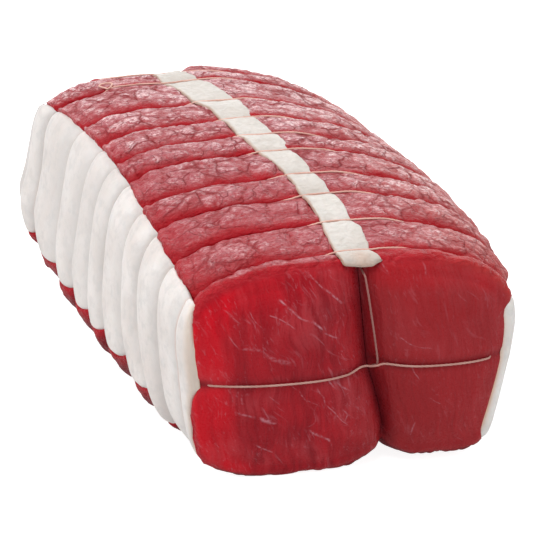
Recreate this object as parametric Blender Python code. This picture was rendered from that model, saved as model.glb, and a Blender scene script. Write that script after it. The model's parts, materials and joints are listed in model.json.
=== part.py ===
"""Barded and tied beef roast: a boned joint of two lobes, jacketed with fat at both sides and on top.

Every piece is measured on one lattice. A lattice place (a, c) lies on a square from -1 to 1: a runs across
the roast from left to right, c from bottom to top, and y runs along it from the cut face to the back.
The lattice is carried to a rounded section whose half widths change along the roast, so a layer that is
sunk by an inset stays parallel to the layer above it.
"""
import math

import bmesh
import bpy
import numpy as np

MM = 0.001
EDGE = 0.999

# Overall size and the places of the ten string loops along the roast
LENGTH = 200 * MM
LOOP_PLACES = np.array([9.9, 31.3, 52.2, 69.7, 92.0, 108.3, 126.7, 149.2, 177.3, 190.1]) * MM

# Half sizes of the section: value at mid length, then slope, bow and twist towards the back
HALF_LEFT = np.array([63.2, -3.9, -5.3, 5.3]) * MM
HALF_RIGHT = np.array([63.6, 9.7, -1.5, 3.2]) * MM
HALF_TOP = np.array([42.7, 1.4, -4.3]) * MM
SPINE_X = np.array([9.8, -7.4, -5.7, 2.0]) * MM
SPINE_Z = np.array([38.6, 2.1]) * MM

# Squareness of the four corners and lean of the two sides, along the roast in the same way
SQUARE_TOP_LEFT = np.array([4.76, 1.5])
SQUARE_TOP_RIGHT = np.array([2.58, -0.48])
SQUARE_LOW_LEFT = np.array([3.9, -2.6, 0.7])
SQUARE_LOW_RIGHT = np.array([3.2, -1.5, 0.3])
LEAN_LEFT = np.array([0.12, 0.22])
LEAN_RIGHT = np.array([0.11, -0.03])
SKEW = -0.106

# Roundness of the two ends, the share of it at the sides, and how far the meat has settled on the board
FRONT_ROUND = 4.5 * MM
FRONT_EDGE = 1.2 * MM
BACK_ROUND = 12 * MM
BACK_EDGES = (6.0 * MM, 2.5 * MM)
SIDE_ROUND = 0.35
SETTLE = 1.0 * MM
RIGHT_LIFT = 0.09
RIGHT_LIFT_FADE = 40 * MM

# The string and the valleys that it pulls in
STRING_RADIUS = 0.45 * MM
GAP = 0.46 * MM
BED_GAP = 0.75 * MM
LOOP_INSET = 2.0 * MM
VALLEY_INSET = LOOP_INSET + STRING_RADIUS + GAP
VALLEY_HALF = 0.9 * MM
ROLL_FULLNESS = 0.28
ROLL_SHOULDER = 0.25

# Fat at the sides: thickness at the middle and at the edges, and the share of it left under a string
BARD_THICK = 3.2 * MM
BARD_EDGE_THICK = 1.4 * MM
BARD_SQUEEZE = 0.35
BARD_TOP = {-1: 0.897, 1: 0.541}
BARD_LOW = -0.66
BARD_CLEAR = 0.015
BARD_STEP = 0.028
BARD_TAPER = 0.18
BARD_DROP = 0.20
BARD_DROP_FADE = 25 * MM
BARD_RISE = np.array([0.075, 0.0, -0.13])
BARD_RISE_RIGHT = 0.15
BARD_RISE_RIGHT_FADE = 30 * MM
DROP_REACH = 0.4
RISE_REACH = 0.35
RISE_REACH_RIGHT = (0.5, 0.4)

# Fat strip along the top, proud of the meat between strings
STRIP_HALF = 0.118
STRIP_FOOT = 0.128
STRIP_WALL = 0.148
STRIP_PROUD = 0.7 * MM
STRIP_THICK = 2.4 * MM
STRIP_VALLEY = 1.7 * MM
STRIP_THIN = 1.6 * MM
OVER_STRIP_INSET = STRIP_VALLEY - STRING_RADIUS - GAP
STRING_RISE = 0.163

# The lengthwise strings, and the channels that they lie in
CHANNEL_HALF = 0.02
LEVEL_HALF = 0.03
LEVEL_WALL = 0.06
LEVEL_RISE = 0.055
CHANNEL_SPARE = 0.25 * MM
UPRIGHT_TOP_INSET = STRIP_VALLEY + STRIP_THIN + STRING_RADIUS + GAP
UPRIGHT_LOW_INSET = 4.4 * MM
RUN_START = 8 * MM
RUN_STOPS = 20
FACE_STAND = 1 * MM
GROOVE_HALF = 0.34
GROOVE_DEPTH = 3.0 * MM
GROOVE_MOUTH = 4.0 * MM
GROOVE_DIVE = 5.0 * MM
GROOVE_DIVE_FADE = 10 * MM

# The cut faces: how far each lobe bulges, and the cleft between them
FRONT_BULGE = 5.0 * MM
BACK_BULGE = 6.0 * MM
LOBE_SQUARE_ACROSS = 2.4
LOBE_SQUARE_UP = 3.0
CLEFT_DEPTH = 4.5 * MM
CLEFT_MOUTH = 0.06
CLEFT_FADE = 25 * MM
CLEFT_SHIFT = 1.0 * MM
CLEFT_LEAN = {"upper": -0.07, "lower": -0.24}
HITCH_DEPTH = 2.4 * MM
FRONT_ROLL_START = -0.7 * MM

# Centre of the roast's box, carried to the origin
CENTRE_X = 6.62 * MM
CENTRE_Y = 100.02 * MM

ACROSS_LINES = (0.34, 0.62, 0.86, 1.0)
BARD_LINES = (0.72, 0.38, -0.34, -0.54)


def along(coefficients, y):
    """A size that changes smoothly along the roast, as a short polynomial of the place from -1 to 1."""
    t = 2 * y / LENGTH - 1
    return sum(k * t**power for power, k in enumerate(coefficients))


def end_insets(y):
    """How far the rounded ends draw the sides and the height in at y."""
    front = np.clip(FRONT_ROUND - y, 0, FRONT_ROUND)
    back = np.clip(y - (LENGTH - BACK_ROUND), 0, BACK_ROUND)
    front = FRONT_ROUND - np.sqrt(FRONT_ROUND**2 - front**2)
    back = BACK_ROUND - np.sqrt(BACK_ROUND**2 - back**2)
    return SIDE_ROUND * front + back, front + back


def end_shift(a, c, y):
    """How far a point near a cut face moves along y: out over each lobe, and in at the cleft."""
    lobe = (1 - np.abs(2 * np.abs(a) - 1) ** LOBE_SQUARE_ACROSS) * (1 - np.abs(c) ** LOBE_SQUARE_UP)
    cleft = CLEFT_DEPTH * np.clip((CLEFT_MOUTH - np.abs(a)) / (CLEFT_MOUTH - CHANNEL_HALF), 0, 1)
    front = np.clip(1 - y / CLEFT_FADE, 0, 1) ** 2
    back = np.clip(1 - (LENGTH - y) / CLEFT_FADE, 0, 1) ** 2
    return front * (cleft - FRONT_BULGE * lobe) - back * (cleft - BACK_BULGE * lobe)


def bow(value, middle, below, above):
    """A smooth window that is 1 at the middle and 0 at the ends of its two reaches."""
    reach = np.where(value < middle, below, above)
    return np.clip(1 - ((value - middle) / reach) ** 2, 0, 1)


def warp(a, c, y):
    """Lattice height with the fat's edges drawn to their true run, lower at the front and higher midway."""
    drop = BARD_DROP * np.exp(-np.maximum(y, 0) / BARD_DROP_FADE) * bow(c, BARD_LOW, 1 + BARD_LOW, DROP_REACH)
    top = BARD_TOP[-1]
    rise = along(BARD_RISE, y) * bow(c, top, RISE_REACH, 1 - top)
    top = BARD_TOP[1]
    rise_right = BARD_RISE_RIGHT * np.exp(-np.maximum(y, 0) / BARD_RISE_RIGHT_FADE)
    rise_right = rise_right * bow(c, top, *RISE_REACH_RIGHT)
    return c + np.where(a < 0, rise - drop, np.where(a > EDGE, rise_right - drop, 0))


def place(a, c, y, inset, shift=None):
    """World place of lattice points: the section at y, drawn in by the inset, then set on the board."""
    c = warp(a, c, y)
    side_inset, height_inset = end_insets(y)
    half_x = np.where(a < 0, -along(HALF_LEFT, y), along(HALF_RIGHT, y)) - np.sign(a) * (side_inset + inset)
    half_z = np.where(c < 0, along(SPINE_Z, y), along(HALF_TOP, y)) - height_inset - inset
    top = np.where(a < 0, along(SQUARE_TOP_LEFT, y), along(SQUARE_TOP_RIGHT, y))
    bottom = np.where(a < 0, along(SQUARE_LOW_LEFT, y), along(SQUARE_LOW_RIGHT, y))
    power = np.where(c < 0, bottom, top)
    wide, high = np.abs(a), np.abs(c)
    share_x = wide * (1 - 0.5 * high**power) ** (1 / power)
    share_z = high * (1 - 0.5 * wide**power) ** (1 / power)
    lift = RIGHT_LIFT * np.exp(-np.maximum(y, 0) / RIGHT_LIFT_FADE) * np.clip(a / GROOVE_HALF, 0, 1)
    rise = half_z * share_z * np.where(c < 0, lift - 1, 1)
    lean = np.where(a < 0, along(LEAN_LEFT, y), along(LEAN_RIGHT, y))
    face = np.clip(1 - np.maximum(y, 0) / CLEFT_FADE, 0, 1) * (1 - share_x)
    cleft_lean = np.where(c < 0, CLEFT_LEAN["lower"], CLEFT_LEAN["upper"])
    x = half_x * share_x + along(SPINE_X, y) + rise * lean * share_x
    x = x + face * (CLEFT_SHIFT + cleft_lean * rise)
    z = np.maximum(along(SPINE_Z, y) + rise - SETTLE, 0)
    moved = y + (end_shift(a, c, y) if shift is None else shift)
    return np.stack([x - CENTRE_X, moved + SKEW * x - CENTRE_Y, z + 0 * y], -1)


def crest(y):
    """Fullness of the roll at y: 0 in the valley under a string, 1 midway between two strings."""
    fronts = np.concatenate([[FRONT_ROLL_START - VALLEY_HALF], LOOP_PLACES])
    backs = np.concatenate([LOOP_PLACES, [2 * LENGTH - LOOP_PLACES[-1]]])
    roll = np.clip(np.searchsorted(LOOP_PLACES, y), 0, len(LOOP_PLACES))
    start = fronts[roll] + VALLEY_HALF
    end = backs[roll] - VALLEY_HALF
    share = np.clip((y - start) / (end - start), 0, 1)
    return (4 * share * (1 - share)) ** ROLL_FULLNESS


def roll_inset(y):
    """Depth of the surface below the full section, from the rolls between the strings."""
    return VALLEY_INSET * (1 - crest(y))


def bard_thickness(side, c, y):
    """Thickness of the side fat: thin at its upper and lower edges, and squeezed under each string."""
    rim = np.minimum(BARD_TOP[side] - c, c - BARD_LOW)
    full = np.clip(rim / BARD_TAPER, 0, 1)
    thick = BARD_EDGE_THICK + (BARD_THICK - BARD_EDGE_THICK) * full
    return thick * (1 - BARD_SQUEEZE * (1 - crest(y)))


def strip_insets(y):
    """Outer and inner depth of the top strip along the roast."""
    full = crest(y)
    outer = STRIP_VALLEY - (STRIP_VALLEY + STRIP_PROUD) * full
    return outer, outer + STRIP_THIN + (STRIP_THICK - STRIP_THIN) * full


def face_inset(a):
    """Depth on a cut face, which narrows towards the beds of the fat at its sides."""
    return (BARD_THICK + BED_GAP) * np.abs(a)


def groove_inset(a, y):
    """Depth of the wide groove between the lobes along the underside, deeper at the cut face."""
    depth = GROOVE_DEPTH + GROOVE_MOUTH * np.exp(-np.maximum(y, 0) / GROOVE_DIVE_FADE)
    return depth * np.clip(1 - np.abs(a) / GROOVE_HALF, 0, 1) ** 1.5


def dive_inset(y):
    """Extra depth of the underside's string and channel near the cut face, where they rise into the cleft."""
    return GROOVE_DIVE * np.exp(-np.maximum(y, 0) / GROOVE_DIVE_FADE)


def meat_inset(a, c, y):
    """Depth of the meat's surface: rolls, the beds of the fat, and the channels of the long strings."""
    inner = (np.abs(a) < EDGE) & (np.abs(c) < EDGE)
    under_strip = np.abs(a) < STRIP_FOOT + 0.001
    strip_bed = strip_insets(y)[1] + GAP
    near_top = np.where(under_strip & (c > 0), (strip_bed - roll_inset(y)) * c**4, 0)
    near_floor = np.where(c < 0, groove_inset(a, y) * c**4, 0)
    depth = roll_inset(y) + np.where(inner, face_inset(a) + near_top + near_floor, 0)
    edge = np.abs(a) > EDGE
    margin = (BARD_CLEAR + BARD_STEP) / 2
    for side in (-1, 1):
        bed = edge & (a * side > 0) & (c < BARD_TOP[side] + margin) & (c > BARD_LOW - margin)
        depth = depth + np.where(bed, bard_thickness(side, c, y) + BED_GAP, 0)
    channel = edge & (np.abs(c) < LEVEL_HALF + 0.001)
    depth = depth + np.where(channel, 2 * STRING_RADIUS + BED_GAP + CHANNEL_SPARE, 0)
    roof = c > EDGE
    middle = np.abs(a) < CHANNEL_HALF + 0.001
    depth = np.where(roof & under_strip, strip_bed, depth)
    depth = np.where(roof & middle, UPRIGHT_TOP_INSET + STRING_RADIUS + GAP, depth)
    floor = c < -EDGE
    depth = depth + np.where(floor, groove_inset(a, y), 0)
    low_channel = UPRIGHT_LOW_INSET + dive_inset(y) + STRING_RADIUS + GAP
    return np.where(floor & middle, np.maximum(depth, low_channel), depth)


def stations():
    """Places of the cross lines: both edges of each valley, and both shoulders of each roll."""
    lines = [0.0, FRONT_EDGE, FRONT_ROUND]
    for here, there in zip(LOOP_PLACES, np.append(LOOP_PLACES[1:], LENGTH)):
        lines += [here - VALLEY_HALF, here + VALLEY_HALF]
        span = there - here - 2 * VALLEY_HALF
        if there < LENGTH:
            lines += [here + VALLEY_HALF + share * span for share in (ROLL_SHOULDER, 1 - ROLL_SHOULDER)]
    return lines + [LENGTH - edge for edge in BACK_EDGES] + [LENGTH]


def mirrored(values):
    """The values with their negatives, in rising order."""
    return sorted({-value for value in values} | set(values))


def cut_block(name, a_lines, y_lines, c_lines):
    """A cube stretched over the lattice and loop-cut at the given lines, as a mesh and its lattice places."""
    lines = (sorted(a_lines), sorted(y_lines), sorted(c_lines))
    block = bmesh.new()
    bmesh.ops.create_cube(block, size=2.0)
    low = np.array([axis[0] for axis in lines])
    high = np.array([axis[-1] for axis in lines])
    for vert in block.verts:
        vert.co = (low + high) / 2 + (high - low) / 2 * np.array(vert.co)
    for axis, values in enumerate(lines):
        normal = [0.0, 0.0, 0.0]
        normal[axis] = 1.0
        for value in values[1:-1]:
            point = [0.0, 0.0, 0.0]
            point[axis] = value
            geometry = block.verts[:] + block.edges[:] + block.faces[:]
            bmesh.ops.bisect_plane(block, geom=geometry, dist=1e-7, plane_co=point, plane_no=normal)
    mesh = bpy.data.meshes.new(name)
    block.to_mesh(mesh)
    block.free()
    flat = np.empty(3 * len(mesh.vertices), dtype=np.float32)
    mesh.vertices.foreach_get("co", flat)
    places = flat.reshape(-1, 3).astype(float)
    for axis, values in enumerate(lines):
        nearest = np.abs(places[:, axis, None] - np.array(values)).argmin(axis=1)
        places[:, axis] = np.array(values)[nearest]
    return mesh, places.T


def add_piece(name, data, collection, material):
    """An object in the roast's collection, with its material."""
    piece = bpy.data.objects.new(name, data)
    data.materials.append(material)
    collection.objects.link(piece)
    return piece


def shape_mesh(mesh, points):
    """Move the mesh's vertices to the given places."""
    mesh.vertices.foreach_set("co", points.astype(np.float32).ravel())
    mesh.update()
    mesh.shade_smooth()


def make_meat(collection, material):
    """The meat: one solid of two lobes, with rolls between the strings and beds for the fat."""
    a_lines = mirrored(ACROSS_LINES + (CHANNEL_HALF, CLEFT_MOUTH, STRIP_FOOT, STRIP_WALL))
    c_lines = [-1.0, 1.0, *mirrored((LEVEL_HALF, LEVEL_WALL)), *BARD_LINES]
    for top in BARD_TOP.values():
        c_lines += [top + BARD_CLEAR, top + BARD_STEP]
    c_lines += [BARD_LOW - BARD_CLEAR, BARD_LOW - BARD_STEP]
    mesh, (a, y, c) = cut_block("meat", a_lines, stations(), c_lines)
    shape_mesh(mesh, place(a, c, y, meat_inset(a, c, y)))
    add_piece("meat", mesh, collection, material)


def make_bard(name, side, collection, material):
    """A sheet of fat on one side, from below the shoulder to near the board."""
    c_lines = [BARD_TOP[side], BARD_LOW, -LEVEL_WALL, LEVEL_WALL]
    shared = BARD_LINES + tuple(top + BARD_CLEAR for top in BARD_TOP.values())
    c_lines += [line for line in shared if line < BARD_TOP[side]]
    mesh, (depth, y, c) = cut_block(name, (0.9 * side, 1.0 * side), stations()[1:-2], c_lines)
    sunk = np.where(np.abs(depth) < 0.95, bard_thickness(side, c, y), 0)
    points = place(np.full(len(c), float(side)), c, y, roll_inset(y) + sunk)
    shape_mesh(mesh, points)
    add_piece(name, mesh, collection, material)


def make_strip(collection, material):
    """The strip of fat along the top, pinched by each string."""
    mesh, (a, y, depth) = cut_block("bard_top", (-STRIP_HALF, 0.0, STRIP_HALF), stations()[1:-1], (0.9, 1.0))
    outer, inner = strip_insets(y)
    points = place(a, np.ones(len(a)), y, np.where(depth < 0.95, inner, outer), shift=0.0)
    shape_mesh(mesh, points)
    add_piece("bard_top", mesh, collection, material)


def add_string(name, points, collection, material):
    """A closed string through the points, as a thin bevelled curve."""
    curve = bpy.data.curves.new(name, "CURVE")
    curve.dimensions = "3D"
    curve.bevel_depth = STRING_RADIUS
    curve.bevel_resolution = 0
    spline = curve.splines.new("POLY")
    spline.points.add(len(points) - 1)
    for point, here in zip(spline.points, points):
        point.co = (*here, 1.0)
    spline.use_cyclic_u = True
    add_piece(name, curve, collection, material)


def make_loop(number, y, collection, material):
    """One string round the roast, lying in its valley and rising over the top strip."""
    roof = mirrored(ACROSS_LINES[:-1] + (STRING_RISE, STRIP_FOOT))
    floor = mirrored(ACROSS_LINES[:-1] + (STRIP_WALL,))
    wall = [-1.0, 1.0, -LEVEL_WALL, LEVEL_WALL, BARD_LOW - BARD_CLEAR, *BARD_LINES]
    wall = sorted(wall + [top + BARD_CLEAR for top in BARD_TOP.values()])
    path = [(-1.0, c) for c in wall] + [(a, 1.0) for a in roof]
    path += [(1.0, c) for c in reversed(wall)] + [(a, -1.0) for a in reversed(floor)]
    a, c = np.array(path).T
    inset = np.where((c > EDGE) & (np.abs(a) < STRIP_WALL), OVER_STRIP_INSET, LOOP_INSET)
    points = place(a, c, np.full(len(a), y), inset, shift=0.0)
    add_string(f"string_loop_{number:02d}", points, collection, material)


def make_upright(collection, material):
    """The lengthwise string over the top, down both cut faces and back along the bottom groove."""
    run = np.linspace(RUN_START, LENGTH - BACK_ROUND, RUN_STOPS)
    stops = [(1.0, y, UPRIGHT_TOP_INSET) for y in (*run, LENGTH - 4 * MM, LENGTH - 1 * MM)]
    stops += [(c, LENGTH + FACE_STAND, 0.0) for c in (0.7, 0.3, 0.0)]
    stops += [(c, LENGTH - 3.2 * MM, 0.0) for c in (-0.3, -0.8)]
    stops += [(-1.0, y, UPRIGHT_LOW_INSET + dive_inset(y)) for y in (LENGTH - 6 * MM, *run[::-1], 4 * MM)]
    stops += [(c, 2.8 * MM, 0.0) for c in (-0.7, -0.3)]
    stops += [(c, -FACE_STAND, 0.0) for c in (0.0, 0.4, 0.8)]
    stops += [(1.0, 0.6 * MM, UPRIGHT_TOP_INSET)]
    c, y, inset = np.array(stops).T
    within = np.clip(y, 0, LENGTH)
    points = place(np.zeros(len(c)), c, within, inset, shift=y - within)
    add_string("string_upright", points, collection, material)


def make_level(collection, material):
    """The lengthwise string round both sides under the fat, and across both cut faces."""
    stand = STRING_RADIUS + BED_GAP
    turn = [0.0, math.pi / 4, math.pi / 2]
    y = np.array([0.0] * len(turn) + stations()[1:])
    back_turn = np.arcsin(np.clip((y - (LENGTH - BACK_ROUND)) / BACK_ROUND, 0, 1))
    front_turn = np.array(turn[::-1] + [0.0] * (len(y) - len(turn)))
    proud = stand * (np.sin(back_turn) - np.sin(front_turn))
    sunk = stand * (1 - np.cos(back_turn + front_turn))
    bed = roll_inset(y) + bard_thickness(-1, 0.0, y) + stand + sunk
    across = np.array(mirrored(ACROSS_LINES[:-1] + (STRIP_WALL, 0.0)))
    side = np.ones(len(y))
    face = np.ones(len(across))
    a = np.concatenate([-side, across, side, across[::-1]])
    back_face = face_inset(across) + roll_inset(LENGTH)
    inset = np.concatenate([bed, back_face, bed[::-1], face_inset(across) + roll_inset(0.0)])
    proud = np.concatenate([proud, stand * face, proud[::-1], -stand * face])
    y = np.concatenate([y, LENGTH * face, y[::-1], 0 * face])
    shift = np.where(a == 0, np.sign(proud) * HITCH_DEPTH, end_shift(a, 0 * a, y) + proud)
    c = np.where((y <= 0) & (a >= 0) & (a < EDGE), LEVEL_RISE, 0.0)
    add_string("string_level", place(a, c, y, inset, shift=shift), collection, material)


def make_material(name, colour, roughness):
    """A Principled BSDF of one colour."""
    material = bpy.data.materials.new(name)
    material.use_nodes = True
    shader = material.node_tree.nodes["Principled BSDF"]
    shader.inputs["Base Color"].default_value = (*colour, 1.0)
    shader.inputs["Roughness"].default_value = roughness
    shader.inputs["Metallic"].default_value = 0.0
    return material


def main():
    """Clear the scene and build the roast."""
    for old in list(bpy.data.objects):
        bpy.data.objects.remove(old, do_unlink=True)
    roast = bpy.data.collections.new("beef_roast")
    bpy.context.scene.collection.children.link(roast)
    meat = make_material("raw_beef", (0.30, 0.02, 0.03), 0.45)
    fat = make_material("fat", (0.80, 0.76, 0.70), 0.5)
    twine = make_material("twine", (0.78, 0.62, 0.50), 0.8)
    make_meat(roast, meat)
    make_bard("bard_left", -1, roast, fat)
    make_bard("bard_right", 1, roast, fat)
    make_strip(roast, fat)
    for number, y in enumerate(LOOP_PLACES, start=1):
        make_loop(number, y, roast, twine)
    make_upright(roast, twine)
    make_level(roast, twine)


if __name__ == "__main__":
    main()
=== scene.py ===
"""Looks of the barded and tied beef roast: meat, fat and string as fine meshes with procedural finishes.

Every piece is worked out on the same lattice as the solids. A lattice place (a, c) lies on a square from -1
to 1: a runs across the roast from left to right, c from bottom to top, and y along it from the cut face.
Lengths are in millimetres up to the finished mesh, and in metres in the finishes.
"""

import json
import logging
import math
from dataclasses import dataclass
from enum import Enum
from functools import cached_property

import bpy
import numpy as np
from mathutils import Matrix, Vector

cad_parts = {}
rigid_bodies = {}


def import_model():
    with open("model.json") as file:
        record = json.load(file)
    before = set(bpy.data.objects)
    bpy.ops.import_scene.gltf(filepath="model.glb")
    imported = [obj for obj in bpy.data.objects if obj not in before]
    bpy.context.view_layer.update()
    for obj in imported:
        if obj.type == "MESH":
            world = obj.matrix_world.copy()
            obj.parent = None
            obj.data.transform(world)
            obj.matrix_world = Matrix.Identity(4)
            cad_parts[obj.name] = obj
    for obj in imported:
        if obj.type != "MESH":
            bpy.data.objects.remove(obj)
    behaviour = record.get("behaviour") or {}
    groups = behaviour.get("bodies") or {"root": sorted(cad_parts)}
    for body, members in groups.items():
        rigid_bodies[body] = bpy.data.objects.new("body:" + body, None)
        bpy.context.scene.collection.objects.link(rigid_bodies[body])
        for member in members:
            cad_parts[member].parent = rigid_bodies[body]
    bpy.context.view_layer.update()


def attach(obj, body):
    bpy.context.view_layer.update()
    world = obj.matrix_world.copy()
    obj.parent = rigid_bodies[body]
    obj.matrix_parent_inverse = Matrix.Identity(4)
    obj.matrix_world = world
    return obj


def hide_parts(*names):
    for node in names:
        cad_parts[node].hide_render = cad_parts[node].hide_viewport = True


Array = np.ndarray
Colour = tuple[float, float, float]
Sizes = tuple[float, ...]
Material = bpy.types.Material
Piece = bpy.types.Object
Socket = bpy.types.NodeSocket

MM = 0.001
LOG = logging.getLogger("beef_roast")


class Side(Enum):
    """The two sides of the roast, as the sign of the lattice's a."""

    LEFT = -1
    RIGHT = 1


class Slot(Enum):
    """The record's material slots."""

    MEAT = "raw_beef"
    FAT = "fat"
    TWINE = "twine"


# Curves and noise on whole arrays


def eased(value: Array, low: float, high: float) -> Array:
    """0 below low, 1 above high, and an eased rise between them; low may be the larger."""
    share = np.clip((value - low) / (high - low), 0, 1)
    return share * share * (3 - 2 * share)


def hump(value: Array, middle: float, width: float) -> Array:
    """A bell that is 1 at the middle and fades over the width."""
    return np.exp(-(((value - middle) / width) ** 2))


def faded(y: Array, length: float) -> Array:
    """An exponential fade behind the cut face, where it is 1."""
    return np.exp(-np.maximum(y, 0) / length)


def arc(value: Array) -> Array:
    """A quarter circle that rises from 0 at 0 to 1 at 1."""
    return np.sqrt(1 - (1 - np.clip(value, 0, 1)) ** 2)


def unit(vectors: Array) -> Array:
    """Vectors in the last axis, at length 1."""
    return vectors / np.maximum(np.linalg.norm(vectors, axis=-1, keepdims=True), 1e-12)


def hashed(cell: Array, seed: int) -> Array:
    """Even random numbers from 0 to 1, one for each whole-number cell.

    Args:
        cell: whole numbers, with three in the last axis.
        seed: picks one of many number fields.

    Returns:
        The numbers, without the last axis.
    """
    mask = 0xFFFFFFFF
    mixed = (cell[..., 0] * 73856093) ^ (cell[..., 1] * 19349663) ^ (cell[..., 2] * 83492791)
    mixed = (mixed ^ (seed * 2654435761)) & mask
    for shift, factor in ((16, 2246822519), (13, 3266489917)):
        mixed = ((mixed ^ (mixed >> shift)) * factor) & mask
    return ((mixed ^ (mixed >> 16)) & mask) / mask


def noise(points: Array, seed: int, layers: int = 2) -> Array:
    """Layered value noise: random numbers at whole-number places, with eased blends between them.

    Each layer has twice the frequency and half the strength of the one before.

    Args:
        points: places with three coordinates in the last axis, in units of the noise's cell.
        seed: picks the noise.
        layers: how many layers are added.

    Returns:
        Numbers from -1 to 1.
    """
    total = 0
    for layer in range(layers):
        place = points * 2**layer
        cell = np.floor(place).astype(np.int64)
        ease = eased(place - cell, 0, 1)
        for corner in np.ndindex(2, 2, 2):
            weight = np.prod(np.where(corner, ease, 1 - ease), axis=-1)
            total = total + weight * (2 * hashed(cell + corner, seed + layer) - 1) / 2**layer
    return total / (2 - 2.0 ** (1 - layers))


def cell_edges(points: Array, seed: int) -> tuple[Array, Array]:
    """Distance to the nearest border between random cells, and a random number for each cell.

    Each whole-number cell holds one random centre. The border lies where the two nearest centres are equally
    far, so the distance is half the difference between them.

    Args:
        points: places in units of the cell size.
        seed: picks the cells.

    Returns:
        The distance in units of the cell size, and the cell's number from 0 to 1.
    """
    cell = np.floor(points).astype(np.int64)
    first = np.full(points.shape[:-1], 9.0)
    second = first.copy()
    number = first.copy()
    for step in np.ndindex(3, 3, 3):
        here = cell + step - 1
        jitter = np.stack([hashed(here, seed + axis) for axis in range(3)], -1)
        distance = np.linalg.norm(here + jitter - points, axis=-1)
        nearer = distance < first
        second = np.where(nearer, first, np.minimum(second, distance))
        number = np.where(nearer, hashed(here, seed + 3), number)
        first = np.minimum(first, distance)
    return (second - first) / 2, number


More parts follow.
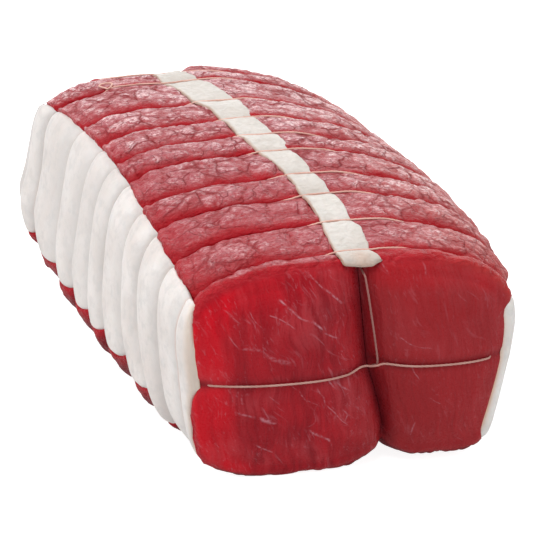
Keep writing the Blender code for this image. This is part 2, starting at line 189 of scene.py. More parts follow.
@dataclass(frozen=True)
class Lattice:
    """The roast's lattice: overall sizes, the section along the roast, the ends and the strings' places."""

    length: float = 200
    loops: Sizes = (9.9, 31.3, 52.2, 69.7, 92.0, 108.3, 126.7, 149.2, 177.3, 190.1)
    half_left: Sizes = (63.2, -3.9, -5.3, 5.3)
    half_right: Sizes = (63.6, 9.7, -1.5, 3.2)
    half_top: Sizes = (42.7, 1.4, -4.3)
    spine_x: Sizes = (9.8, -7.4, -5.7, 2.0)
    spine_z: Sizes = (38.6, 2.1)
    square_top_left: Sizes = (4.76, 1.5)
    square_top_right: Sizes = (2.36, -0.48, 0.22)
    square_low_left: Sizes = (3.75, -1.4, -0.7)
    square_low_right: Sizes = (3.2, -1.5, 0.3)
    face_square: Sizes = (2.2, 4.0)
    face_square_fade: float = 15
    first_square: float = 1.0
    tuck: float = 0.07
    tuck_fade: float = 45
    lean_left: Sizes = (0.12, 0.22)
    lean_right: Sizes = (0.11, -0.03)
    skew: float = -0.106
    back_from: float = 110
    back_to: float = 196
    back_square: float = 4.3
    back_lean: float = 0.225
    back_narrow: float = 1.05
    back_low: float = 1.1
    back_full: float = 0.9
    back_rise: float = 0.083
    front_round: float = 4.5
    back_round: float = 12
    side_round: float = 0.35
    settle: float = 1.0
    right_lift: float = 0.09
    right_lift_fade: float = 40
    roll_fullness: float = 0.42
    front_roll_start: float = -1.6
    drift_size: float = 1.5
    foot_slant: float = 5.0
    third_slant: float = 8.0
    bard_top: Sizes = (0.897, 0.541)
    bard_low: float = -0.66
    low_places: Sizes = (0, 12, 26, 46, 54, 70, 90, 130, 200)
    low_heights: Sizes = (-0.975, -0.955, -0.93, -0.90, -0.70, -0.67, -0.64, -0.61, -0.59)
    waist: float = -0.2
    bard_rise: Sizes = (0.075, 0.0, -0.13)
    bard_rise_right: float = 0.15
    bard_rise_right_fade: float = 30
    scallop: float = 0.016
    scallop_low: float = 0.085
    groove_half: float = 0.42
    front_bulge: float = 5.0
    back_bulge: float = 6.0
    lobe_square_across: float = 2.4
    lobe_square_up: float = 3.0
    cleft_depth: float = 3.6
    cleft_core: float = 2.0
    cleft_mouth: float = 0.15
    cleft_slit: float = 0.046
    cleft_fade: float = 25
    cleft_shift: float = 3.1
    cleft_lean: Sizes = (-0.10, -0.231)
    cleft_bow: float = 0.8
    centre_x: float = 6.62
    centre_y: float = 100.02

    def along(self, coefficients: Sizes, y: Array) -> Array:
        """A size along the roast: a polynomial of the place from -1 at the cut face to 1 at the back."""
        t = 2 * y / self.length - 1
        return sum(k * t**power for power, k in enumerate(coefficients))

    def top_of(self, side: Side) -> float:
        """Lattice height of the side fat's upper edge."""
        return self.bard_top[0] if side is Side.LEFT else self.bard_top[1]

    def share(self, y: Array) -> Array:
        """Share of the way through the roll at y, from the string before it to the string behind it."""
        stops = np.array([self.front_roll_start, *self.loops, 2 * self.length - self.loops[-1]])
        roll = np.searchsorted(self.loops, y)
        return np.clip((y - stops[roll]) / (stops[roll + 1] - stops[roll]), 0, 1)

    def crest(self, y: Array, power: float = roll_fullness) -> Array:
        """Fullness of the roll at y: with the share s through the roll, 4 s (1 - s) to a power."""
        share = self.share(y)
        return (4 * share * (1 - share)) ** power

    def backward(self, y: Array) -> Array:
        """Eased rise from 0 to 1 over the back half."""
        return eased(y, self.back_from, self.back_to)

    def drift(self, a: Array, c: Array, y: Array) -> Array:
        """How far the rolls stray along the roast: a noise at each string, and forward at the left foot."""
        loops = np.array(self.loops)
        number = np.abs(y[..., None] - loops).argmin(-1)
        places = np.stack([4.2 * a, 2.6 * c, 5.37 * number + 0 * a], -1)
        rear = self.length - y
        near = eased(np.abs(y - loops[number]), 9, 0) * eased(y, 0, 6) * eased(rear, 0, 6)
        slant = self.foot_slant * eased(c, 0.1, -0.8) * eased(y, 14, 40) * eased(rear, 0, 40)
        slant = slant + self.third_slant * eased(c, -0.05, -0.8) * hump(y, loops[2], 13)
        return self.drift_size * noise(places, 41, 3) * near - slant * eased(a, -0.2, -0.95)

    def warp(self, a: Array, c: Array, y: Array) -> Array:
        """Lattice height with the fat's edges drawn to their true run, and notched at each string.

        The run of heights from the underside to the top is stretched in straight steps between the lower
        edge, the waist and the upper edge of the fat, so the two edges land on their places at y.
        """
        full = self.crest(y)
        low = np.interp(y, self.low_places, self.low_heights)
        low = np.clip(low + self.scallop_low * (0.8 - full), -0.98, -0.4)
        top = np.where(a < 0, *self.bard_top)
        rise_left = self.along(self.bard_rise, y) + self.back_rise * self.backward(y)
        rise_right = self.bard_rise_right * faded(y, self.bard_rise_right_fade)
        new_top = top + np.where(a < 0, rise_left, rise_right) + self.scallop * (full - 1)
        marks = (-1, self.bard_low, self.waist, top, 1)
        lands = (-1, low, self.waist, np.clip(new_top, -1, 0.985), 1)
        warped = -1
        for step in range(4):
            share = np.clip((c - marks[step]) / (marks[step + 1] - marks[step]), 0, 1)
            warped = warped + (lands[step + 1] - lands[step]) * share
        return c + np.where(a < 0, 1, eased(a, 0.9, 0.999)) * (warped - c)

    def end_insets(self, a: Array, y: Array) -> tuple[Array, Array]:
        """How far the rounded ends draw the sides and the height in at y: circular arcs at both ends."""
        front = self.front_round * (1 - arc(y / self.front_round))
        back = self.back_round * (1 - arc((self.length - y) / self.back_round))
        return self.side_round * front + back, front + back * (1 - self.back_full * eased(a, 0.0, 0.25))

    def end_shift(self, a: Array, c: Array, y: Array) -> Array:
        """How far a point near a cut face moves along y: out over each lobe, and in at the cleft."""
        lobe = 1 - np.abs(2 * np.abs(a) - 1) ** self.lobe_square_across
        lobe = lobe * (1 - np.abs(c) ** self.lobe_square_up)
        mouth = np.exp(-((np.abs(a) / self.cleft_mouth) ** 1.6))
        cleft = self.cleft_depth * mouth + self.cleft_core * hump(a, 0, self.cleft_slit)
        front = np.clip(1 - y / self.cleft_fade, 0, 1) ** 2
        back = np.clip(1 - (self.length - y) / self.cleft_fade, 0, 1) ** 2
        return front * (cleft - self.front_bulge * lobe) - back * (cleft - self.back_bulge * lobe)

    def place(self, a: Array, c: Array, y: Array, inset: Array, shift: Array | None = None) -> Array:
        """World places of lattice points: the section at y, drawn in by the inset and set on the board.

        Args:
            a: lattice place across, from -1 to 1.
            c: lattice place up, from -1 to 1.
            y: place along the roast.
            inset: depth below the full section.
            shift: move along y, or None for that of the cut faces.

        Returns:
            Places with three coordinates in the last axis.
        """
        a, c, y, inset = np.broadcast_arrays(*(np.asarray(v, float) for v in (a, c, y, inset)))
        moved = y + self.drift(a, c, y)
        c = self.warp(a, c, y)
        moved = moved + (self.end_shift(a, c, y) if shift is None else shift)
        left, below = a < 0, c < 0
        back = self.backward(y)
        middle = self.along(self.spine_z, y)
        side_inset, height_inset = self.end_insets(a, y)
        half_left = self.along(self.half_left, y) - self.back_narrow * back
        half_x = np.where(left, -half_left, self.along(self.half_right, y))
        half_x = half_x - np.sign(a) * (side_inset + inset)
        half_top = self.along(self.half_top, y) - self.back_low * back * eased(a, 0.35, -0.1)
        half_z = np.where(below, middle, half_top) - height_inset - inset
        top_left = self.along(self.square_top_left, y) * (1 - back) + self.back_square * back
        top = np.where(left, top_left, self.along(self.square_top_right, y))
        low_left = self.along(self.square_low_left, y) - self.first_square * hump(y, 21, 12)
        low = np.where(left, low_left, self.along(self.square_low_right, y))
        low = low + np.where(left, *self.face_square) * faded(y, self.face_square_fade)
        power = np.where(below, low, top)
        wide, high = np.abs(a), np.abs(c)
        share_x = wide * (1 - 0.5 * high**power) ** (1 / power)
        share_z = high * (1 - 0.5 * wide**power) ** (1 / power)
        lift = self.right_lift * faded(y, self.right_lift_fade) * np.clip(a / self.groove_half, 0, 1)
        rise = half_z * share_z * np.where(below, lift - 1, 1)
        lean_left = self.along(self.lean_left, y) - self.back_lean * back * np.clip(rise / 30, 0, 1)
        lean_right = self.along(self.lean_right, y) + self.tuck * faded(y, self.tuck_fade) * (rise < 0)
        lean = np.where(left, lean_left, lean_right)
        x = self.along(self.spine_x, y) + (half_x + rise * lean) * share_x
        face = np.clip(1 - np.maximum(y, 0) / self.cleft_fade, 0, 1) * (1 - share_x)
        top_lean, low_lean = self.cleft_lean
        sag = np.clip(-rise / half_z, 0, 1)
        bow = self.cleft_bow * 4 * sag * (1 - sag)
        x = x + face * (self.cleft_shift + np.where(below, low_lean, top_lean) * rise + bow)
        z = np.maximum(middle + rise - self.settle, 0)
        return np.stack([x - self.centre_x, moved + self.skew * x - self.centre_y, z], -1)


LATTICE = Lattice()


def box_shell(lines: tuple[Array, Array, Array]) -> tuple[Array, Array]:
    """The surface of a box cut by three sets of lines, as one closed skin with shared corners.

    Args:
        lines: rising coordinates along the three axes.

    Returns:
        The lattice coordinates of the corners (n, 3), and the four corners of each face (m, 4), facing out.
    """
    counts = [len(axis) for axis in lines]
    number = np.arange(np.prod(counts)).reshape(counts)
    faces = []
    for axis in range(3):
        for end in (0, -1):
            sheet = number.transpose(axis, (axis + 1) % 3, (axis + 2) % 3)[end]
            corners = (sheet[:-1, :-1], sheet[1:, :-1], sheet[1:, 1:], sheet[:-1, 1:])
            quads = np.stack(corners, -1).reshape(-1, 4)
            faces.append(quads if end else quads[:, ::-1])
    keys, numbers = np.unique(np.concatenate(faces), return_inverse=True)
    index = np.unravel_index(keys, counts)
    coordinates = np.stack([np.asarray(axis)[i] for axis, i in zip(lines, index)], -1)
    return coordinates, numbers.reshape(-1, 4)


def vertex_normals(points: Array, faces: Array) -> Array:
    """Unit normals at the corners, from the cross products of the diagonals of the faces around each."""
    corner = points[faces]
    normal = np.cross(corner[:, 2] - corner[:, 0], corner[:, 3] - corner[:, 1])
    total = np.zeros_like(points)
    for axis in range(3):
        for column in range(4):
            total[:, axis] += np.bincount(faces[:, column], normal[:, axis], len(points))
    return unit(total)


def mesh_piece(name: str, points: Array, faces: Array, material: Material, values: dict[str, Array]) -> Piece:
    """A smooth mesh object at the origin, with one float attribute on its points for each named value.

    Args:
        name: the object's name.
        points: corners (n, 3) in millimetres.
        faces: corner numbers (m, 4).
        material: its finish.
        values: numbers for each corner, by attribute name.

    Returns:
        The object, linked to the scene.
    """
    mesh = bpy.data.meshes.new(name)
    mesh.vertices.add(len(points))
    mesh.vertices.foreach_set("co", (points * MM).astype(np.float32).ravel())
    mesh.loops.add(faces.size)
    mesh.loops.foreach_set("vertex_index", faces.astype(np.int32).ravel())
    mesh.polygons.add(len(faces))
    mesh.polygons.foreach_set("loop_start", np.arange(0, faces.size, 4, dtype=np.int32))
    mesh.update(calc_edges=True)
    mesh.validate()
    for key, numbers in values.items():
        mesh.attributes.new(key, "FLOAT", "POINT").data.foreach_set("value", np.asarray(numbers, np.float32))
    mesh.shade_smooth()
    mesh.materials.append(material)
    piece = bpy.data.objects.new(name, mesh)
    bpy.context.scene.collection.objects.link(piece)
    return piece


def runs(stops: Sizes, counts: tuple[int, ...], crowd: float = 0.0) -> Array:
    """Rising lines through a row of stops.

    Args:
        stops: the ends of the runs.
        counts: number of steps in each run.
        crowd: 0 for even steps, 1 for steps crowded towards both ends of each run by a cosine.

    Returns:
        The lines, with the first and the last stop.
    """
    lines = []
    for low, high, count in zip(stops, stops[1:], counts):
        share = np.arange(count) / count
        share = (1 - crowd) * share + crowd * (1 - np.cos(np.pi * share)) / 2
        lines.append(low + (high - low) * share)
    return np.concatenate([*lines, stops[-1:]])


def roll_lines(per_roll: int) -> Array:
    """Lines along the roast, crowded into the valleys under the strings."""
    stops = (0.0, *LATTICE.loops, LATTICE.length)
    return runs(stops, (per_roll,) * (len(stops) - 1), 0.75)


# Shader helpers


class Signal:
    """A socket that gives a value, with arithmetic that adds the next node to its tree."""

    def __init__(self, graph: "Graph", socket: Socket) -> None:
        """Keep the graph and the socket."""
        self.graph = graph
        self.socket = socket

    def __add__(self, other: "Value") -> "Signal":
        """The sum."""
        return self.graph.math("ADD", self, other)

    def __mul__(self, other: "Value") -> "Signal":
        """The product."""
        return self.graph.math("MULTIPLY", self, other)

    def most(self, other: "Value") -> "Signal":
        """The larger of the two."""
        return self.graph.math("MAXIMUM", self, other)

    def span(self, low: float, high: float, to_low: float = 0.0, to_high: float = 1.0) -> "Signal":
        """The value carried from one range to another with eased ends."""
        inputs = dict(enumerate((self, low, high, to_low, to_high)))
        return self.graph.add("MapRange", inputs, interpolation_type="SMOOTHSTEP")


Value = Signal | float


class Graph:
    """A node tree with short calls for the nodes that the finishes use."""

    def __init__(self, tree: bpy.types.NodeTree) -> None:
        """Keep the tree."""
        self.tree = tree

    def feed(self, socket: Socket, value: Value | Colour) -> None:
        """Link a signal into this input, or set the input's own value."""
        if isinstance(value, Signal):
            self.tree.links.new(value.socket, socket)
        elif socket.type == "RGBA" and len(value) == 3:
            socket.default_value = (*value, 1.0)
        else:
            socket.default_value = value

    def node(self, kind: str, inputs: dict, **settings) -> bpy.types.Node:
        """A shader node of that kind, with its settings, and its inputs by name or number."""
        made = self.tree.nodes.new(f"ShaderNode{kind}")
        for key, value in settings.items():
            setattr(made, key, value)
        for key, value in inputs.items():
            self.feed(made.inputs[key], value)
        return made

    def add(self, kind: str, inputs: dict, output: int | str = 0, **settings) -> Signal:
        """A shader node, as one of its outputs."""
        return Signal(self, self.node(kind, inputs, **settings).outputs[output])

    def math(self, operation: str, *values: Value, clamp: bool = False) -> Signal:
        """A Math node."""
        return self.add("Math", dict(enumerate(values)), operation=operation, use_clamp=clamp)

    def mix(self, share: Signal, first: Signal | Colour, second: Signal | Colour) -> Signal:
        """Colours mixed by a share."""
        return self.add("Mix", {0: share, 6: first, 7: second}, 2, data_type="RGBA")

    def noise(
        self, vector: Signal, scale: Value, detail: float = 2.0, rough: float = 0.5, warp: float = 0.0,
    ) -> Signal:
        """The value of a Noise texture."""
        inputs = {"Vector": vector, "Scale": scale, "Detail": detail, "Roughness": rough, "Distortion": warp}
        return self.add("TexNoise", inputs)

    def stretch(self, vector: Signal, scale: Colour, turn: float = 0.0) -> Signal:
        """A vector turned about the roast's length by radians, then stretched along the axes."""
        turned = self.add("Mapping", {"Vector": vector, "Rotation": (0.0, turn, 0.0)})
        return self.add("Mapping", {"Vector": turned, "Scale": scale})

    def bend(self, vector: Signal, scale: Value, detail: float, size: Value) -> Signal:
        """A vector moved by a noise, by up to half the size each way, so that straight lines curve."""
        wave = self.add("TexNoise", {"Vector": vector, "Scale": scale, "Detail": detail}, 1)
        wave = self.add("VectorMath", {0: wave, 1: (0.5, 0.5, 0.5)}, operation="SUBTRACT")
        wave = self.add("VectorMath", {0: wave, "Scale": size}, operation="SCALE")
        return self.add("VectorMath", {0: vector, 1: wave}, operation="ADD")

    def effect(self, group: bpy.types.NodeTree, **inputs) -> dict[str, Signal]:
        """A shared group placed with its own values, as its outputs by name."""
        made = self.node("Group", inputs, node_tree=group)
        return {socket.name: Signal(self, socket) for socket in made.outputs}


class Group(Graph):
    """A shader node group: a vector and named numbers go in, and named numbers come out."""

    def __init__(self, name: str, inputs: tuple[str, ...], outputs: tuple[str, ...]) -> None:
        """Make the group with its sockets.

        Args:
            name: the group's name.
            inputs: the numbers that go in after the vector.
            outputs: the numbers that come out.
        """
        super().__init__(bpy.data.node_groups.new(name, "ShaderNodeTree"))
        self.tree.interface.new_socket("Vector", in_out="INPUT", socket_type="NodeSocketVector")
        for way, keys in (("INPUT", inputs), ("OUTPUT", outputs)):
            for key in keys:
                self.tree.interface.new_socket(key, in_out=way, socket_type="NodeSocketFloat")
        source = self.tree.nodes.new("NodeGroupInput")
        self.given = [Signal(self, source.outputs[key]) for key in ("Vector", *inputs)]
        self.sink = self.tree.nodes.new("NodeGroupOutput")

    def give(self, **values: Signal) -> bpy.types.NodeTree:
        """Link the numbers that come out, and hand over the group."""
        for key, value in values.items():
            self.feed(self.sink.inputs[key], value)
        return self.tree


class Finish(Graph):
    """The graph of a material, round its Principled BSDF."""

    def __init__(self, name: str) -> None:
        """Make the material."""
        self.material = bpy.data.materials.new(name)
        self.material.use_nodes = True
        super().__init__(self.material.node_tree)

    @cached_property
    def place(self) -> Signal:
        """Object coordinates."""
        return self.add("TexCoord", {}, "Object")

    @cached_property
    def across(self) -> Signal:
        """The place across the roast."""
        return self.add("SeparateXYZ", {0: self.place})

    def value(self, name: str) -> Signal:
        """A number stored on the mesh's points."""
        return self.add("Attribute", {}, "Fac", attribute_name=name)

    def bump(self, height: Signal, distance: float, strength: float) -> Signal:
        """The normal that a height gives, with the distance in metres."""
        return self.add("Bump", {"Height": height, "Distance": distance, "Strength": strength})

    def shade(self, **values) -> Material:
        """Set or link the shader's inputs, named with underscores for spaces, and hand over the material."""
        shader = self.tree.nodes["Principled BSDF"]
        for key, value in values.items():
            self.feed(shader.inputs[key.replace("_", " ")], value)
        return self.material


class Effects:
    """Shader node groups that several finishes share."""

    def __init__(self) -> None:
        """Build each group once."""
        self.mottle = self._mottle()
        self.web = self._web()
        self.streaks = self._streaks()

    def _mottle(self) -> bpy.types.NodeTree:
        """Soft blotches of two sizes: a broad noise and one nine times as fine."""
        group = Group("mottle", ("Scale",), ("Broad", "Fine"))
        place, scale = group.given
        broad = group.noise(place, scale, 3.0).span(0.36, 0.64)
        return group.give(Broad=broad, Fine=group.noise(place, scale * 9.0, 3.0).span(0.32, 0.68))

    def _web(self) -> bpy.types.NodeTree:
        """A net of thin lines: the borders of warped random cells, 1 on the line and 0 inside the cell.

        Dome rises with a quarter circle from 0 on the border to 1 well inside the cell.
        """
        group = Group("web", ("Scale", "Width"), ("Line", "Dome"))
        place, scale, width = group.given
        bent = group.bend(place, scale * 0.8, 3.0, group.math("DIVIDE", 1.1, scale))
        cells = {"Vector": bent, "Scale": scale}
        away = group.add("TexVoronoi", cells, "Distance", feature="DISTANCE_TO_EDGE")
        line = group.math("DIVIDE", away, width).span(1.0, 0.0)
        rest = group.math("SUBTRACT", 1.0, group.math("DIVIDE", away, 0.38), clamp=True)
        return group.give(Line=line, Dome=group.math("SQRT", rest * rest * -1.0 + 1.0))

    def _streaks(self) -> bpy.types.NodeTree:
        """Broken streaks: a noise in a stretched space, kept above a limit and gated by a slow noise."""
        group = Group("streaks", ("Scale", "Limit", "Gate"), ("Streak",))
        place, scale, limit, gate = group.given
        shown = group.add("MapRange", {0: group.noise(place, scale, 2.5), 1: limit, 2: limit + 0.09})
        gated = group.add("MapRange", {0: group.noise(place, scale * 0.21, 1.0), 1: gate, 2: gate + 0.12})
        return group.give(Streak=shown * gated)


@dataclass(frozen=True)
class RawBeef:
    """Raw beef: skin with painted sheen and shade and a web of darker cracks, and a deep red cut face with
    fibres, marbling and painted glints.
    """

    cut_deep: Colour = (0.27, 0.007, 0.015)
    cut_bright: Colour = (0.52, 0.015, 0.026)
    cut_dull: Colour = (0.37, 0.026, 0.030)
    cut_edge_lit: Colour = (0.72, 0.008, 0.020)
    skin_valley: Colour = (0.46, 0.008, 0.018)
    skin_crest: Colour = (0.395, 0.032, 0.052)
    skin_painted_sheen: Colour = (0.93, 0.66, 0.67)
    skin_warm_sheen: Colour = (0.70, 0.16, 0.12)
    low_shade: Colour = (0.16, 0.010, 0.016)
    vein_and_glint: Colour = (0.70, 0.30, 0.36)
    haze: Colour = (0.62, 0.13, 0.15)
    crack_and_shade: Colour = (0.25, 0.001, 0.005)
    skin_seam_shade: Colour = (0.36, 0.003, 0.009)
    skin_slope_shade: Colour = (0.42, 0.004, 0.012)
    roughness: float = 0.40

    def build(self, effects: Effects) -> Material:
        """The material: skin and cut face mixed by the point value cut, then gloss and bump.

        Args:
            effects: the shared node groups.

        Returns:
            The material.
        """
        beef = Finish("raw_beef_moist")
        skin, skin_height, crack_and_shade = self._skin(beef, effects)
        face, face_height = self._face(beef, effects)
        cut = beef.value("cut")
        height = beef.add("Mix", {0: cut, 2: skin_height, 3: face_height}, data_type="FLOAT")
        fine = beef.effect(effects.mottle, Vector=beef.place, Scale=130.0)["Fine"]
        rough = fine.span(0, 1, self.roughness - 0.08, self.roughness + 0.12) + cut * -0.08
        gloss = beef.value("sheen_zone") * 0.42 + 0.16 + cut * -0.04
        return beef.shade(
            Base_Color=beef.mix(cut, skin, face),
            Roughness=rough + crack_and_shade * (cut * -1.0 + 1.0) * 0.35,
            Specular_IOR_Level=gloss * (beef.value("groove") * -1.0 + 1.0),
            Normal=beef.bump(height, 1.0 * MM, 0.95),
            Subsurface_Weight=0.12,
            Subsurface_Radius=(1.0, 0.25, 0.2),
            Subsurface_Scale=2.5 * MM,
        )

    def _skin(self, beef: Finish, effects: Effects) -> tuple[Signal, Signal, Signal]:
        """Colour, height and cracks of the skin: crimson slopes with painted shade, mauve crests, a painted
        frosty sheen and two webs.
        """
        place = beef.place
        # The first value read here marks the upturned skin, where the cracks thicken, the gloss rises and the
        # sheen is painted.
        dry = beef.value("sheen_zone")
        # The point value seam paints shade along the seams between the lumps.
        seam = beef.value("seam")
        ragged = beef.noise(place, 260.0, 3.0, 0.6) * 0.8 + -0.4
        sheen_zone = dry * (dry + ragged).span(0.10, 0.60)
        wide = beef.noise(place, 70.0).span(0.46, 0.63, 0.004, 0.14)
        large = beef.effect(effects.web, Vector=place, Scale=105.0, Width=wide)
        narrow = beef.noise(place, 150.0).span(0.49, 0.64, 0.003, 0.16)
        small = beef.effect(effects.web, Vector=place, Scale=280.0, Width=narrow)
        # A salmon tint towards the right, strongest on the upturned skin: partly the meat's own tone and
        # partly painted sheen.
        warm = beef.across.span(10 * MM, 58 * MM) * (sheen_zone * 0.4 + 0.25)
        ripple = beef.stretch(place, (0.55, 1.0, 1.0))
        grains = beef.noise(ripple, 1250.0, 3.0, 0.7).span(0.40, 0.62)
        patch = beef.noise(place, 300.0, 3.0, 0.6).span(0.36, 0.62, 0.30, 1.0)
        blotch = beef.effect(effects.mottle, Vector=place, Scale=75.0)["Broad"].span(0, 1, 0.60, 1.0)
        # Painted sheen: pink-white grains on the upturned skin, stronger where the point value pale is high
        # and fainter in the seams.
        white = (grains * patch * 0.80 + 0.08) * (beef.value("pale") * 2.1 + 1.0)
        white = white * (large["Dome"] * 0.4 + 0.6) * (seam * -0.6 + 1.0) * sheen_zone * blotch
        speck = beef.noise(place, 620.0, 1.0).span(0.70, 0.77, 0.0, 0.7)
        lines = large["Line"].most(small["Line"] * 0.6).most(speck)
        # Lines of the cracks, joined by the painted shadow in the crease under each string from the point
        # value groove.
        crack_and_shade = (lines * (dry * 0.75 + 0.10)).most(beef.value("groove"))
        # Mauve crests against crimson valleys, standing in partly for the sheen on the crests; then a warm
        # tint, the painted sheen, painted shade on the front slopes and in the seams, the cracks with painted
        # crease shadow, and painted shade towards the bottom.
        colour = beef.mix(sheen_zone, self.skin_valley, self.skin_crest)
        for share, tint in (
            (warm, self.skin_warm_sheen), (white, self.skin_painted_sheen), (beef.value("slope_shade") * 0.72, self.skin_slope_shade),
            (seam * 0.75, self.skin_seam_shade), (crack_and_shade, self.crack_and_shade), (beef.value("low"), self.low_shade),
        ):
            colour = beef.mix(share, colour, tint)
        domes = large["Dome"] * 0.5 + small["Dome"] * 0.25
        grain = beef.noise(ripple, 800.0, 3.0, 0.65)
        return colour, crack_and_shade * -0.22 + grain * 0.85 + domes * (dry * 0.6 + 0.4), crack_and_shade

    def _face(self, beef: Finish, effects: Effects) -> tuple[Signal, Signal]:
        """Colour and height of the cut face: fibres, blotches, slanting threads, painted glints, painted
        shade in the cleft and a painted bright left edge.
        """
        place = beef.place
        bent = beef.bend(place, 70.0, 1.0, 7 * MM)
        upright = beef.stretch(bent, (1.0, 0.3, 0.10), 0.10)
        fibre = beef.noise(upright, 620.0, 2.5, 0.55)
        coarse = beef.noise(upright, 210.0)
        blotch = beef.effect(effects.mottle, Vector=place, Scale=48.0)["Broad"]
        tone = fibre.span(0.34, 0.66) * 0.40 + coarse.span(0.34, 0.66) * 0.26 + blotch * 0.36
        left = beef.across.span(14 * MM, -4 * MM, 0.45, 1.0)
        # Pink haze patches on the left lobe: partly the flesh's own tone and partly a painted soft sheen.
        hazy = beef.noise(place, 62.0, 2.0, 0.55).span(0.46, 0.68) * fibre.span(0.35, 0.62, 0.2, 1.0)
        steep = beef.stretch(bent, (1.0, 0.3, 0.13), math.radians(20))
        thin = beef.effect(effects.streaks, Vector=steep, Scale=820.0, Limit=0.60, Gate=0.50)["Streak"]
        slant = beef.stretch(bent, (1.0, 0.3, 0.16), math.radians(48))
        loose = beef.effect(effects.streaks, Vector=slant, Scale=760.0, Limit=0.62, Gate=0.52)["Streak"]
        wobble = beef.noise(place, 300.0) * 2.4 + -1.2
        thread = beef.math("ABSOLUTE", beef.value("thread") + wobble).span(2.2, 0.0)
        thread = thread * beef.value("marbling") * beef.noise(place, 800.0).span(0.38, 0.60, 0.22, 1.0)
        # Painted glints: fine pink flecks, mostly on the left lobe, mixed into the marbling's colour.
        painted_glint = beef.noise(beef.stretch(bent, (1.0, 0.5, 0.38), math.radians(25)), 1150.0, 2.0, 0.6)
        painted_glint = painted_glint.span(0.57, 0.72, 0.0, 0.24) * beef.noise(place, 90.0).span(0.42, 0.62)
        vein_and_glint = (loose.most(thin) * 0.23 * left).most(thread).most(painted_glint * left)
        colour = beef.mix(tone, self.cut_deep, self.cut_bright)
        for share, tint in (
            (beef.across.span(-12 * MM, 14 * MM, 0.10, 0.75), self.cut_dull),
            # Painted light: a bright band along the left and top edges of the cut face.
            (beef.value("edge") * coarse.span(0.25, 0.6, 0.5, 1.0), self.cut_edge_lit),
            # Pink haze patches, the marbling with its painted glints, and painted shade in the cleft and
            # under the level string.
            (hazy * left * 0.20, self.haze), (vein_and_glint, self.vein_and_glint), (beef.value("dark") * 0.85, self.low_shade),
        ):
            colour = beef.mix(share, colour, tint)
        return colour, (fibre + coarse) * 0.50 + vein_and_glint * 0.25


@dataclass(frozen=True)
class WhiteFat:
    """White fat: waxy, a little see-through, with soft blotches and a pink tint in its creases."""

    name: str = "white_fat"
    body: Colour = (0.87, 0.815, 0.785)
    shade: Colour = (0.78, 0.715, 0.68)
    crease: Colour = (0.72, 0.47, 0.40)
    edge: Colour = (0.80, 0.62, 0.48)
    slope_shade: Colour = (0.60, 0.575, 0.56)
    grain: float = 0.35
    wrinkle: float = 0.20
    roughness: float = 0.42

    def build(self, effects: Effects) -> Material:
        """The material: blotched white with painted shade by the point value shade, tinted by crease and rim,
        where rim also paints the strip's edge shadow.

        Args:
            effects: the shared node groups.

        Returns:
            The material.
        """
        fat = Finish(self.name)
        place = fat.place
        blotch = fat.effect(effects.mottle, Vector=place, Scale=55.0)
        colour = fat.mix(blotch["Broad"], self.body, self.shade)
        for share, tint in (
            (fat.noise(place, 700.0, 3.0, 0.6).span(0.45, 0.75, 0.0, self.grain), self.shade),
            # Random fine blotches in the grey of the painted shade, then the painted shade itself from the
            # point value shade.
            (fat.noise(place, 250.0, 3.0, 0.6).span(0.46, 0.66, 0.0, self.grain), self.slope_shade),
            (fat.value("shade") * 0.5, self.slope_shade),
            (fat.value("crease"), self.crease),
            (fat.value("rim"), self.edge),
        ):
            colour = fat.mix(share, colour, tint)
        folds = fat.noise(fat.stretch(place, (1.0, 1.0, 0.45)), 230.0, 3.0, 0.55, 0.6)
        height = folds * (self.wrinkle * 4) + fat.noise(place, 520.0, 4.0, 0.6) * 0.25
        return fat.shade(
            Base_Color=colour,
            Roughness=blotch["Fine"].span(0, 1, self.roughness - 0.08, self.roughness + 0.12),
            Normal=fat.bump(height, 1.0 * MM, 0.5),
            Subsurface_Weight=0.10,
            Subsurface_Radius=(1.0, 0.6, 0.45),
            Subsurface_Scale=1.6 * MM,
        )


@dataclass(frozen=True)
class Twine:
    """Cotton string, stained by the meat: pale and pink, with painted shade between the twists."""

    pale: Colour = (0.86, 0.56, 0.47)
    stained: Colour = (0.64, 0.31, 0.25)
    wet: Colour = (0.30, 0.10, 0.095)
    roughness: float = 0.62

    def build(self, effects: Effects) -> Material:
        """The material: pale strands with painted shade between them, and stained in patches."""
        twine = Finish("stained_twine")
        blotch = twine.effect(effects.mottle, Vector=twine.place, Scale=110.0)["Broad"]
        colour = twine.mix(blotch * 0.45 + twine.value("strand") * 0.35, self.pale, self.stained)
        return twine.shade(
            Base_Color=twine.mix(twine.value("wet"), colour, self.wet),
            Normal=twine.bump(twine.noise(twine.place, 2600.0, 2.0, 0.6), 0.15 * MM, 0.6),
            Roughness=self.roughness,
        )


# Sub-assemblies


